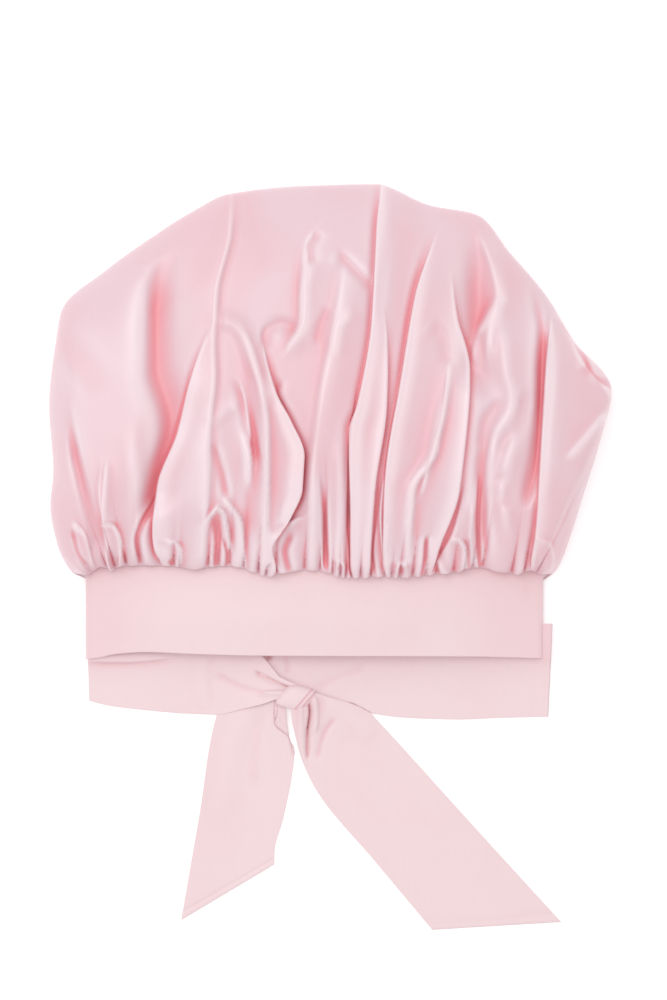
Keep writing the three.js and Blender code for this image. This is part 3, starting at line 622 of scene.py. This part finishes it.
def crown_points():
    """The crown's points, from the seam over the near side, round the rim and back to the hem."""
    shares, level = rise_and_fall()
    places = column_places(shares)
    outline_x, outline_y, outline_seam = outline_curves()
    seam = np.clip(outline_seam(places), 0, 1)
    x = (seam - 0.5) * BAND_LENGTH
    start = np.stack([x, -seam_drop(seam)], axis=2)
    edge = np.stack([outline_x(places), outline_y(places)], axis=2)
    long = np.linalg.norm(edge - start, axis=2)
    full = np.clip(long / (FULL_COLUMN * CROWN_HEIGHT), 0, 1)
    low = near_height(x) + CLOTH
    top = low + (CROWN_LOFT - low) * np.sqrt(full)
    edge_height = mix(FOLD_HEIGHT / 2, EDGE_HEIGHT, np.sqrt(full))
    share = np.repeat(shares[:, None], CROWN_COLUMNS + 1, axis=1)
    near = np.zeros((*share.shape, 3))
    near[:, :, :2] = start + (edge - start) * share[:, :, None]
    near[:, :, 2] = mix(np.where(share > CREST, edge_height, low), top, level[:, None])

    steps = np.linalg.norm(np.diff(near[:, :, :2], axis=1), axis=2)
    across = np.concatenate((np.zeros((len(shares), 1)), steps.cumsum(1)), axis=1)
    out = share * long
    lift, lean = crown_folds(share, across, places)
    settle = ramp(out, 0, FOLDS_FULL) * mix(1, FOLDS_AT_RIM, ramp(share, FOLDS_RIM, 1)) * full
    height, bulge = crown_puckers(seam, out)
    detail = crease_lift(near[:, :, 0], near[:, :, 1], CROWN_CREASES)
    at_rim = mix(1, CREASES_AT_RIM, ramp(share, CREASES_RIM, 1))
    detail *= ramp(out, 0, CREASES_FULL) * at_rim * np.sqrt(full)
    detail *= mix(SEAM_CREASES, 1, ramp(out, *SEAM_CREASES_FADE))
    form = lift * settle + height * full + detail
    sideways = np.gradient(near[:, :, :2], axis=1)
    sideways /= np.linalg.norm(sideways, axis=2, keepdims=True)
    near[:, :, :2] += sideways * (lean * settle)[:, :, None]
    near[:, :, 1] -= bulge * np.sqrt(full)
    near[:, :, 2] += form

    points = np.concatenate([near, far_side(near[-1], edge[-1], x[-1])])
    closing = rounded_ends(CROWN_COLUMNS + 1, CLOSING_COLUMNS)
    points[:, :, 2] = np.clip(points[:, :, 2] * closing, 0, None)
    points += (MIDDLE, SEAM, 0)
    plain_rows = ((0, TUCK_ROWS + FLAT_ROWS), (0, 0))
    shades = crown_shades(form, share, out, across, settle)
    return points, {key: np.pad(field, plain_rows) for key, field in shades.items()}


def make_crown():
    points, fields = crown_points()
    return grid_mesh("crown_cloth", points, fields)


def flat_tube(name, middle, painted_shade):
    """A strip of doubled cloth round a grid of middle points, with rounded edges all round."""
    rows, columns = middle.shape[:2]
    normal = normals_of(middle)
    round_edge = rounded_ends(columns, ROUNDING)
    round_end = rounded_ends(rows, ROUNDING)
    half = (RIBBON / 2 * np.minimum(round_edge[None, :], round_end[:, None]))[:, :, None]
    upper = middle + normal * half
    lower = middle - normal * half
    points = np.concatenate([upper, lower[:, ::-1][:, 1:]], axis=1)
    # Painted shade along the strip, and no painted highlight on it
    fields = {"painted_shade": np.clip(painted_shade, 0, 1), "painted_highlight": 0 * painted_shade}
    doubled = {key: np.concatenate([f, f[:, ::-1][:, 1:]], axis=1) for key, f in fields.items()}
    return grid_mesh(name, points, doubled, closed=True)


def edge_steps(count, edge):
    """Shares across a strip with a few close ones at both sides, for its rounded edges."""
    turn = 1 - np.cos(np.linspace(0, math.pi / 2, ROUNDING + 1))
    inner = np.linspace(edge, 1 - edge, count)
    return np.concatenate([turn[:-1] * edge, inner, 1 - (turn[:-1] * edge)[::-1]])


# The visible edges of the band and the ties, as (x, y) in millimetres from the middle of the seam
BAND_BOTTOM = [(-140, -53), (-133, -52.2), (-121, -49.7), (-103, -48.5), (-71, -49.7), (-32, -50.6),
               (95, -51.2), (121, -51.9), (140, -52.5)]
# How far the band runs up under the crown at its folded ends, and further in, under the gathers
BAND_UNDER = 5 * MM
BAND_UNDER_GATHERS = 9 * MM
BAND_COLUMNS = 190
BAND_ROWS = 26
BAND_EDGE = 0.7 / 52
FOLD_COLUMNS = 8
# The dent by the band's right end, as (x, y) like the outlines, and how far the free edge drapes
DENT_MIDDLE = (133 * MM, -8 * MM)
DENT_REACH = (7 * MM, 9 * MM)
DENT_DEPTH = 1.2 * MM
BAND_DRAPE = 3 * MM
BAND_WAVE = 0.5 * MM


def make_band():
    """The doubled band, with painted shade along the gathers and in its dent, and darker
    towards its ends.
    """
    turn = np.linspace(0, math.pi / 2, FOLD_COLUMNS + 1)[:-1]
    radius = FOLD_HEIGHT / 2
    inner = HALF_BAND - radius
    left = -HALF_BAND + radius * (1 - np.cos(turn))
    x = np.concatenate([left, np.linspace(-inner, inner, BAND_COLUMNS), -left[::-1]])
    across = edge_steps(BAND_ROWS, BAND_EDGE)
    bottom = curve_through(*zip(*BAND_BOTTOM))(x / MM) * MM
    under = mix(BAND_UNDER, BAND_UNDER_GATHERS, ramp(HALF_BAND - np.abs(x), 4 * MM, 16 * MM))
    y = mix(under[:, None], bottom[:, None], across[None, :])
    z = near_height(x)[:, None] + 0 * y
    z = z + BAND_WAVE * np.sin(x[:, None] * 41 + 2) * np.sin(y * 60 + 0.4)
    dent_x = (x[:, None] - DENT_MIDDLE[0]) / DENT_REACH[0]
    dent_y = (y - DENT_MIDDLE[1]) / DENT_REACH[1]
    dent = bell(np.hypot(dent_x, dent_y), 1)
    z = z - DENT_DEPTH * dent
    drape = ramp(-y, 26 * MM, 52 * MM) * np.cos(x[:, None] / HALF_BAND * math.pi / 2)
    z = z - BAND_DRAPE * drape
    middle = np.stack([x[:, None] + 0 * y + MIDDLE, y + SEAM, z - RIBBON / 2], axis=2)
    drop = seam_drop(x[None, :] / BAND_LENGTH + 0.5)[0]
    # Painted shade below the crown's gathers and in the dent, and darker towards the ends
    shaded = 0.3 * np.exp(-np.clip(-y - drop[:, None], 0, None) / (3 * MM)) + 0.06 * dent
    shaded += 0.18 * ramp(np.abs(x[:, None]), 80 * MM, 138 * MM)
    return flat_tube("band_cloth", middle, shaded)


def curve_2d(points, count):
    """Points spaced evenly along a smooth line through the given ones."""
    pts = np.array(points, float) * MM
    way = np.concatenate(([0], np.linalg.norm(np.diff(pts, axis=0), axis=1).cumsum()))
    t = np.linspace(0, way[-1], count)
    return np.stack([curve_through(way, pts[:, 0])(t), curve_through(way, pts[:, 1])(t)], axis=1)


def between(first, second, columns, edge):
    """A grid of points from one line to the other."""
    t = edge_steps(columns, edge)[None, :, None]
    return first[:, None, :] * (1 - t) + second[:, None, :] * t


# The ties, from their folded ends to the knot: upper and lower edge
LEFT_TIE_UPPER = [(-139.5, -38), (-100, -40), (-60, -42), (-38, -46), (-30.2, -53), (-24.1, -60.4),
                  (-21.7, -63.4), (-13.1, -67.7), (-8, -70)]
LEFT_TIE_LOWER = [(-138.5, -78.7), (-126.6, -81.7), (-107, -84.2), (-80, -86.6), (-60, -87.2),
                  (-43.6, -83.6), (-31.4, -80.5), (-22.9, -77.5), (-14, -76)]
RIGHT_TIE_UPPER = [(146, -31), (110, -33), (40, -38), (-20, -44), (-38, -47)]
RIGHT_TIE_LOWER = [(143.5, -88.5), (114.4, -89.3), (90, -90.3), (55.2, -89.1), (35, -86.2), (22.9, -80.5),
                   (0.9, -76.5), (-15, -75), (-32, -71.4)]
# The tails, from under the knot to their cut ends: left and right edge
LEFT_TAIL_LEFT = [(-48, -74), (-60, -87.2), (-71, -150), (-82, -213.5)]
LEFT_TAIL_RIGHT = [(-19, -77), (-17.4, -87.2), (-16.2, -98.8), (-12.5, -111), (-13.7, -123.2),
                   (-19.2, -150.7), (-24.7, -172.6), (-24.7, -179.3)]
RIGHT_TAIL_LEFT = [(-12, -78), (-14.3, -84.8), (-10.7, -105), (-7, -117), (2.1, -135.4), (37.2, -177.5),
                   (72.3, -219.6)]
RIGHT_TAIL_RIGHT = [(-1.5, -73), (10.7, -76.9), (22.9, -80.5), (33.9, -86), (38.7, -90.9), (95, -152.8),
                    (151.6, -214.7)]

# Creases of the ties and tails. path: points on the surface. left and right are seen along it.
LEFT_TIE_CREASES = [
    {"path": [(-138, -53.7), (-115, -54), (-100, -53), (-90, -51.8)], "lift": 2.2, "left": 5, "right": 0.6},
    {"path": [(-36, -60), (-29, -63.5), (-22, -67), (-15, -70)], "lift": -2.2, "left": 0.7, "right": 3.4},
    {"path": [(-25, -66.2), (-20, -68.2), (-13.5, -70.6)], "lift": -1.6, "left": 0.5, "right": 0.9},
    {"path": [(-31, -73.6), (-26, -73.2), (-19, -73)], "lift": 1.4, "left": 0.6, "right": 2},
    {"path": [(-60, -62), (-44, -70), (-30, -74)], "lift": -0.9, "left": 2.4, "right": 4},
    {"path": [(-66.8, -50), (-67.5, -66), (-66, -80)], "lift": 0.6, "left": 2, "right": 6},
]
RIGHT_TIE_CREASES = [
    {"path": [(-19, -51), (-17, -56), (-17, -62)], "lift": -0.6, "left": 2.5, "right": 2},
    {"path": [(30, -58), (14, -64), (0, -71)], "lift": -0.5, "left": 4, "right": 4},
    {"path": [(22, -80), (28, -83), (36, -87)], "lift": -1.2, "left": 0.8, "right": 0.6},
]
LEFT_TAIL_CREASES = [
    {"path": [(-24.1, -79), (-24.6, -87.2), (-24.4, -92.5), (-15.6, -101.5), (-13.1, -112)],
     "lift": -1.8, "left": 0.5, "right": 0.6},
    {"path": [(-22.6, -79), (-22.8, -86), (-23.6, -91)], "lift": -1.4, "left": 0.4, "right": 0.4},
    {"path": [(-23.2, -84), (-22.6, -91), (-15, -99.6), (-12, -110)], "lift": 0.9, "left": 1.2, "right": 0.5},
    {"path": [(-44, -84), (-50, -110), (-56, -150)], "lift": 0.8, "left": 7, "right": 7},
    {"path": [(-32, -84), (-36, -105), (-38, -130)], "lift": -0.8, "left": 5, "right": 5},
]
RIGHT_TAIL_CREASES = [
    {"path": [(-4.3, -79), (-3.4, -85), (-5, -99), (-5.2, -113)], "lift": -3.6, "left": 2, "right": 0.8},
    {"path": [(-8, -80), (-7.8, -92), (-7.4, -104), (-5.4, -117)], "lift": 1.4, "left": 1, "right": 1.6},
    {"path": [(0.4, -76), (1.4, -82), (1.6, -91), (0.6, -98)], "lift": 1.8, "left": 0.7, "right": 2.4},
    {"path": [(12, -89.7), (7, -97), (3.4, -106), (1.8, -114)], "lift": -1.1, "left": 2, "right": 3},
    {"path": [(8, -78), (22, -86), (34, -98)], "lift": 0.8, "left": 4, "right": 5},
    {"path": [(20, -110), (44, -140), (70, -172)], "lift": 0.7, "left": 9, "right": 9},
]

# How finely the ties and tails are divided, along and across, and the share of their width that
# a rounded edge takes up. TAIL_HEM is the row of a tail's hem.
TIE_ROWS, TIE_COLUMNS, TIE_EDGE = 230, 76, 0.014
TAIL_ROWS, TAIL_COLUMNS, TAIL_EDGE = 260, 100, 0.01
TAIL_HEM = 250
# Heights round the knot and under the band. The ties rise to the band's free edge and take a
# painted shade under it, their folded ends curl up, and the right one has a small dent with a
# painted shadow beside the left.
TIE_BUNCH = 34 * MM
TIE_CLEAR = 1.2 * MM
TAIL_BUNCH = 24 * MM
TAIL_CLEAR = 2.4 * MM
END_CURL = 2.5 * MM
BAND_RISE = 3.4 * MM
NOTCH_MIDDLE = (-28.5, -51.5)
NOTCH_REACH = 2.4 * MM
NOTCH_DEPTH = 2.4 * MM
# A crease takes its painted shade in full where it lies this far below the cloth round it
CREASE_DEPTH = 1.1 * MM

# The knot's wrap: its middle, its two half axes and its height, in millimetres. Its hem lines
# lie at shares of the way across, as shallow grooves with painted shade.
KNOT_MIDDLE = (-11.4, -76.4)
KNOT_ACROSS = (9.2, -2.6)
KNOT_ALONG = (5.6, 6.6)
KNOT_LEVEL = 5.2
KNOT_HALF_HEIGHT = 4.8
KNOT_HEMS = (0.8, 0.5)
HEM_WIDTH = 0.06


def crease_lift(x, y, creases):
    """The height that creases give to each point, fading in and out along their paths."""
    lift = np.zeros_like(x)
    for crease in creases:
        count = 1 if len(crease["path"]) < 3 else 4 * len(crease["path"])
        path = curve_2d(crease["path"], count + 1)
        reach = 3 * max(crease["left"], crease["right"]) * MM + 2 * MM
        low, high = path.min(axis=0) - reach, path.max(axis=0) + reach
        close = (x > low[0]) & (x < high[0]) & (y > low[1]) & (y < high[1])
        px, py = x[close], y[close]
        nearest = np.full(px.shape, np.inf)
        side = np.zeros_like(px)
        share = np.zeros_like(px)
        for number, (a, b) in enumerate(zip(path[:-1], path[1:])):
            run = b - a
            t = ((px - a[0]) * run[0] + (py - a[1]) * run[1]) / (run @ run)
            t = t.clip(-0.6 * count if number == 0 else 0, 1.6 * count if number == count - 1 else 1)
            dx = px - a[0] - run[0] * t
            dy = py - a[1] - run[1] * t
            away = np.hypot(dx, dy)
            closer = away < nearest
            nearest = np.where(closer, away, nearest)
            side = np.where(closer, run[0] * dy - run[1] * dx, side)
            share = np.where(closer, (number + t) / count, share)
        wide = np.where(side > 0, crease["left"], crease["right"]) * MM
        fade = ramp(share, -0.12, 0.16) * (1 - ramp(share, 0.84, 1.12))
        lift[close] += crease["lift"] * MM * bell(nearest, wide) * fade
    return lift


def ribbon(name, flat, creases, base, spot, shaded):
    """A strip of the doubled cloth over a flat grid, creased and raised by base and spot."""
    x, y = flat[:, :, 0], flat[:, :, 1]
    lift = crease_lift(x, y, creases)
    z = RIBBON / 2 + np.clip(base + lift + spot, 0, None)
    middle = np.stack([x + MIDDLE, y + SEAM, z], axis=2)
    # Painted shade in the creases, on top of the shade given
    creased = np.clip(smoothed(lift, 7) - lift, 0, None)
    return flat_tube(name, middle, shaded + creased / CREASE_DEPTH)


def away_from(place, x, y):
    """How far each point lies from a place that is given in millimetres."""
    return np.hypot(x - place[0] * MM, y - place[1] * MM)


def make_tie(name, upper, lower, creases, over, notched):
    """A tie. over is how far it lies above the surface beside the knot."""
    flat = between(curve_2d(upper, TIE_ROWS), curve_2d(lower, TIE_ROWS), TIE_COLUMNS, TIE_EDGE)
    x, y = flat[:, :, 0], flat[:, :, 1]
    near = bell(away_from(KNOT_MIDDLE, x, y), TIE_BUNCH)
    wave = 0.25 * MM * (1 + np.sin(x * 70 + y * 25))
    base = (over + TIE_CLEAR) * near + wave * (1 - near)
    inset = np.clip((np.abs(x) - HALF_BAND + 5 * MM) / (10 * MM), 0, 1)
    below = curve_through(*zip(*BAND_BOTTOM))(x / MM) * MM - y
    # Painted shade under the band's lower edge, and a painted shadow in the notch
    shaded = 0.28 * np.exp(-np.clip(below / (4 * MM), 0, None))
    notch = bell(away_from(NOTCH_MIDDLE, x, y), NOTCH_REACH) * notched
    rise = BAND_RISE * np.exp(-np.clip(below, 0, None) / (7 * MM))
    spot = END_CURL * inset**2 + rise - NOTCH_DEPTH * notch
    return ribbon(name, flat, creases, base, spot, shaded + notch)


def make_tail(name, left, right, creases, over):
    """A tail, from under the knot to its cut end. over is how far it is lifted at the knot."""
    flat = between(curve_2d(left, TAIL_ROWS), curve_2d(right, TAIL_ROWS), TAIL_COLUMNS, TAIL_EDGE)
    x, y = flat[:, :, 0], flat[:, :, 1]
    near = bell(away_from(KNOT_MIDDLE, x, y), TAIL_BUNCH)
    wave = 0.3 * MM * (1 + np.sin(x * 35 - y * 50 + over / MM))
    base = (over + TAIL_CLEAR) * near + wave
    # Painted shade where the tail runs in under the knot, and a painted shadow above its hem
    painted_knot_shade = 0.25 * bell(away_from(KNOT_MIDDLE, x, y), 12 * MM)
    hem = bell(np.arange(TAIL_ROWS)[:, None] - TAIL_HEM + 0 * x, 3)
    return ribbon(name, flat, creases, base, -0.3 * MM * hem, painted_knot_shade + 0.06 * hem)


def squared(value, power):
    """The value drawn towards 1 or -1, which turns a round form into a squarer one."""
    return math.copysign(abs(value) ** power, value)


def make_knot():
    """One wrap of the cloth laid slantwise over the crossing, with its hem near the right side."""
    bm = bmesh.new()
    painted_shade = bm.verts.layers.float.new("painted_shade")
    painted_highlight = bm.verts.layers.float.new("painted_highlight")
    bmesh.ops.create_icosphere(bm, subdivisions=6, radius=1)
    for vert in bm.verts:
        rise, turn = math.asin(max(-1, min(1, vert.co.z))), math.atan2(vert.co.y, vert.co.x)
        reach = math.cos(rise) ** 0.75
        a = reach * squared(math.cos(turn), 0.5)
        b = reach * squared(math.sin(turn), 0.6)
        c = squared(math.sin(rise), 0.8)
        hem = sum(math.exp(-(((a - place) / HEM_WIDTH) ** 2)) for place in KNOT_HEMS)
        crease = math.exp(-(((a + 0.45 - 0.3 * b) / 0.16) ** 2)) * (1 - b * b)
        swell = 1 - 0.08 * hem - 0.06 * crease
        x = KNOT_MIDDLE[0] + KNOT_ACROSS[0] * a + KNOT_ALONG[0] * b
        y = KNOT_MIDDLE[1] + KNOT_ACROSS[1] * a + KNOT_ALONG[1] * b
        z = KNOT_LEVEL + KNOT_HALF_HEIGHT * c * swell
        vert.co = Vector((x, y, z)) * MM + Vector((MIDDLE, SEAM, 0))
        # Painted shade in the hem lines
        vert[painted_shade] = min(1, 1.2 * hem)
        vert[painted_highlight] = 0
    for face in bm.faces:
        face.smooth = True
    return finished("knot_cloth", bm)


# The satin's finish on every piece. SHINE is the colour of the painted highlight on its ridges.
# BLUSH_RANGE is where low wrinkles start to warm the colour and where they do so in full.
SHINE = (0.93, 0.82, 0.85)
SHINE_SHARE = 0.5
BLUSH_RANGE = (0.42, 0.68)
SLUB_SHARE = 0.03
GLOSS_SPREAD = 0.04
WEAVE_STRENGTH = 0.25
WEAVE_DEPTH = 0.05 * MM


def group_sockets(group, inputs, outputs):
    for name, kind, value in inputs:
        socket = group.interface.new_socket(name, in_out="INPUT", socket_type=kind)
        socket.default_value = value
    for name, kind in outputs:
        group.interface.new_socket(name, in_out="OUTPUT", socket_type=kind)


def satin_weave():
    """Fine slubs along the cloth and a faint twill across it, as a height and a tone."""
    group = bpy.data.node_groups.new("satin_weave", "ShaderNodeTree")
    group_sockets(
        group,
        [("Fineness", "NodeSocketFloat", 900.0), ("Slub", "NodeSocketFloat", 6.0)],
        [("Height", "NodeSocketFloat"), ("Tone", "NodeSocketFloat")],
    )
    node, link = group.nodes.new, group.links.new
    given = node("NodeGroupInput")
    result = node("NodeGroupOutput")
    place = node("ShaderNodeTexCoord")
    twill = node("ShaderNodeTexWave")
    twill.bands_direction = "DIAGONAL"
    twill.inputs["Distortion"].default_value = 0.6
    link(place.outputs["Object"], twill.inputs["Vector"])
    link(given.outputs["Fineness"], twill.inputs["Scale"])
    stretch = node("ShaderNodeMapping")
    stretch.inputs["Scale"].default_value = (120, 14, 60)
    link(place.outputs["Object"], stretch.inputs["Vector"])
    slub = node("ShaderNodeTexNoise")
    slub.inputs["Detail"].default_value = 3
    link(stretch.outputs["Vector"], slub.inputs["Vector"])
    link(given.outputs["Slub"], slub.inputs["Scale"])
    height = node("ShaderNodeMix")
    height.inputs["Factor"].default_value = 0.5
    link(twill.outputs["Fac"], height.inputs["A"])
    link(slub.outputs["Fac"], height.inputs["B"])
    link(height.outputs["Result"], result.inputs["Height"])
    link(slub.outputs["Fac"], result.inputs["Tone"])
    return group


def soft_wrinkles():
    """Low uneven dents of pressed cloth, as a height."""
    group = bpy.data.node_groups.new("soft_wrinkles", "ShaderNodeTree")
    group_sockets(
        group,
        [("Size", "NodeSocketFloat", 16.0)],
        [("Height", "NodeSocketFloat")],
    )
    node, link = group.nodes.new, group.links.new
    given = node("NodeGroupInput")
    result = node("NodeGroupOutput")
    place = node("ShaderNodeTexCoord")
    dents = node("ShaderNodeTexNoise")
    dents.inputs["Detail"].default_value = 2
    dents.inputs["Roughness"].default_value = 0.45
    dents.inputs["Distortion"].default_value = 0.5
    link(place.outputs["Object"], dents.inputs["Vector"])
    link(given.outputs["Size"], dents.inputs["Scale"])
    link(dents.outputs["Fac"], result.inputs["Height"])
    return group


def satin(name, weave, wrinkles, light, painted_shade_colour, rough, wrinkle_size, wrinkle_height, blush):
    """Pale satin: painted shade in its hollows, a painted highlight on its crests, a broad soft gloss,
    fine slubs and low wrinkles.
    """
    material = bpy.data.materials.new(name)
    material.use_nodes = True
    tree = material.node_tree
    node, link = tree.nodes.new, tree.links.new
    shader = tree.nodes["Principled BSDF"]
    cloth = node("ShaderNodeGroup")
    cloth.node_tree = weave
    dents = node("ShaderNodeGroup")
    dents.node_tree = wrinkles
    dents.inputs["Size"].default_value = wrinkle_size
    # Painted shade: the colour turns deeper pink by the cloth's field of painted shade
    painted_shade = node("ShaderNodeAttribute")
    painted_shade.attribute_name = "painted_shade"
    tone = node("ShaderNodeMix")
    tone.data_type = "RGBA"
    tone.inputs["A"].default_value = (*light, 1)
    tone.inputs["B"].default_value = (*painted_shade_colour, 1)
    # Painted highlight: the colour turns paler by the cloth's field of painted highlight
    painted_highlight = node("ShaderNodeAttribute")
    painted_highlight.attribute_name = "painted_highlight"
    crest = node("ShaderNodeMath")
    crest.operation = "MULTIPLY"
    crest.inputs[1].default_value = SHINE_SHARE
    link(painted_highlight.outputs["Fac"], crest.inputs[0])
    warmth = node("ShaderNodeMapRange")
    warmth.inputs["From Min"].default_value = BLUSH_RANGE[0]
    warmth.inputs["From Max"].default_value = BLUSH_RANGE[1]
    warmth.inputs["To Max"].default_value = blush
    link(dents.outputs["Height"], warmth.inputs["Value"])
    pocket = node("ShaderNodeMath")
    pocket.use_clamp = True
    link(painted_shade.outputs["Fac"], pocket.inputs[0])
    link(warmth.outputs["Result"], pocket.inputs[1])
    link(pocket.outputs["Value"], tone.inputs["Factor"])
    shine = node("ShaderNodeMix")
    shine.data_type = "RGBA"
    shine.inputs["B"].default_value = (*SHINE, 1)
    link(crest.outputs["Value"], shine.inputs["Factor"])
    link(tone.outputs["Result"], shine.inputs["A"])
    slub = node("ShaderNodeMix")
    slub.data_type = "RGBA"
    slub.blend_type = "MULTIPLY"
    slub.inputs["Factor"].default_value = SLUB_SHARE
    link(shine.outputs["Result"], slub.inputs["A"])
    link(cloth.outputs["Tone"], slub.inputs["B"])
    link(slub.outputs["Result"], shader.inputs["Base Color"])
    gloss = node("ShaderNodeMapRange")
    gloss.inputs["To Min"].default_value = rough - GLOSS_SPREAD
    gloss.inputs["To Max"].default_value = rough + GLOSS_SPREAD
    link(cloth.outputs["Tone"], gloss.inputs["Value"])
    link(gloss.outputs["Result"], shader.inputs["Roughness"])
    dent_bump = node("ShaderNodeBump")
    dent_bump.inputs["Strength"].default_value = 1
    dent_bump.inputs["Distance"].default_value = wrinkle_height
    link(dents.outputs["Height"], dent_bump.inputs["Height"])
    weave_bump = node("ShaderNodeBump")
    weave_bump.inputs["Strength"].default_value = WEAVE_STRENGTH
    weave_bump.inputs["Distance"].default_value = WEAVE_DEPTH
    link(cloth.outputs["Height"], weave_bump.inputs["Height"])
    link(dent_bump.outputs["Normal"], weave_bump.inputs["Normal"])
    link(weave_bump.outputs["Normal"], shader.inputs["Normal"])
    shader.inputs["Specular IOR Level"].default_value = 0.5
    shader.inputs["Sheen Weight"].default_value = 0.15
    shader.inputs["Sheen Roughness"].default_value = 0.4
    shader.inputs["Sheen Tint"].default_value = (1, 0.9, 0.94, 1)
    return material


# The camera's distance, the height of its frame on the surface, and what it looks at: the middle
# of the frame, at a height about half way up the crown
CAMERA_DISTANCE = 2.5
FRAME_HEIGHT = 0.61
FRAME_MIDDLE = (1.9 * MM, 35.6 * MM)
FRAME_LEVEL = 20 * MM


def dress(piece, node_name, material):
    piece.data.materials.append(material)
    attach(piece, "root")
    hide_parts(node_name)


def make_floor():
    bm = bmesh.new()
    bmesh.ops.create_grid(bm, x_segments=1, y_segments=1, size=4)
    floor = finished("floor", bm)
    white = bpy.data.materials.new("white_surface")
    white.use_nodes = True
    shader = white.node_tree.nodes["Principled BSDF"]
    shader.inputs["Base Color"].default_value = (0.85, 0.85, 0.85, 1)
    shader.inputs["Roughness"].default_value = 0.9
    shader.inputs["Specular IOR Level"].default_value = 0.1
    shader.inputs["Emission Color"].default_value = (1, 1, 1, 1)
    shader.inputs["Emission Strength"].default_value = 0.3
    floor.data.materials.append(white)


def aim(piece, target):
    way = Vector(target) - piece.location
    piece.rotation_euler = way.to_track_quat("-Z", "Y").to_euler()


def add_softbox(name, place, target, size, power):
    data = bpy.data.lights.new(name, "AREA")
    data.shape = "SQUARE"
    data.size = size
    data.energy = power
    light = bpy.data.objects.new(name, data)
    light.location = place
    bpy.context.scene.collection.objects.link(light)
    aim(light, target)


def light_the_studio():
    world = bpy.data.worlds.new("studio")
    world.use_nodes = True
    world.node_tree.nodes["Background"].inputs["Color"].default_value = (1, 1, 1, 1)
    world.node_tree.nodes["Background"].inputs["Strength"].default_value = 0.88
    bpy.context.scene.world = world
    add_softbox("key", (-0.45, 0.5, 1.7), (0, 0, 0), 1.0, 8.5)
    bpy.context.scene.view_settings.view_transform = "Standard"


def add_camera():
    """Straight above, far off, so that the frame is about 407 by 610 mm on the surface."""
    data = bpy.data.cameras.new("camera")
    data.sensor_fit = "VERTICAL"
    data.sensor_height = 36
    data.lens = data.sensor_height * CAMERA_DISTANCE / FRAME_HEIGHT
    camera = bpy.data.objects.new("camera", data)
    camera.location = (*FRAME_MIDDLE, CAMERA_DISTANCE + FRAME_LEVEL)
    bpy.context.scene.collection.objects.link(camera)
    bpy.context.scene.camera = camera


weave = satin_weave()
wrinkles = soft_wrinkles()
crown_satin = satin("crown_satin", weave, wrinkles, light=(0.768, 0.555, 0.608),
                    painted_shade_colour=(0.82, 0.3, 0.34), rough=0.36, wrinkle_size=14,
                    wrinkle_height=1.6 * MM, blush=0.18)
band_satin = satin("band_satin", weave, wrinkles, light=(0.84, 0.65, 0.67),
                   painted_shade_colour=(0.76, 0.43, 0.46), rough=0.48, wrinkle_size=16,
                   wrinkle_height=0.7 * MM, blush=0.08)

dress(make_crown(), "crown", crown_satin)
dress(make_band(), "front_band", band_satin)
dress(make_tie("left_tie_cloth", LEFT_TIE_UPPER, LEFT_TIE_LOWER, LEFT_TIE_CREASES, 4.2 * MM, False),
      "tie_left", band_satin)
dress(make_tie("right_tie_cloth", RIGHT_TIE_UPPER, RIGHT_TIE_LOWER, RIGHT_TIE_CREASES, 1 * MM, True),
      "tie_right", band_satin)
dress(make_tail("left_tail_cloth", LEFT_TAIL_LEFT, LEFT_TAIL_RIGHT, LEFT_TAIL_CREASES, 0),
      "tail_left", band_satin)
dress(make_tail("right_tail_cloth", RIGHT_TAIL_LEFT, RIGHT_TAIL_RIGHT, RIGHT_TAIL_CREASES, 3.4 * MM),
      "tail_right", band_satin)
dress(make_knot(), "knot", band_satin)
make_floor()
light_the_studio()
add_camera()
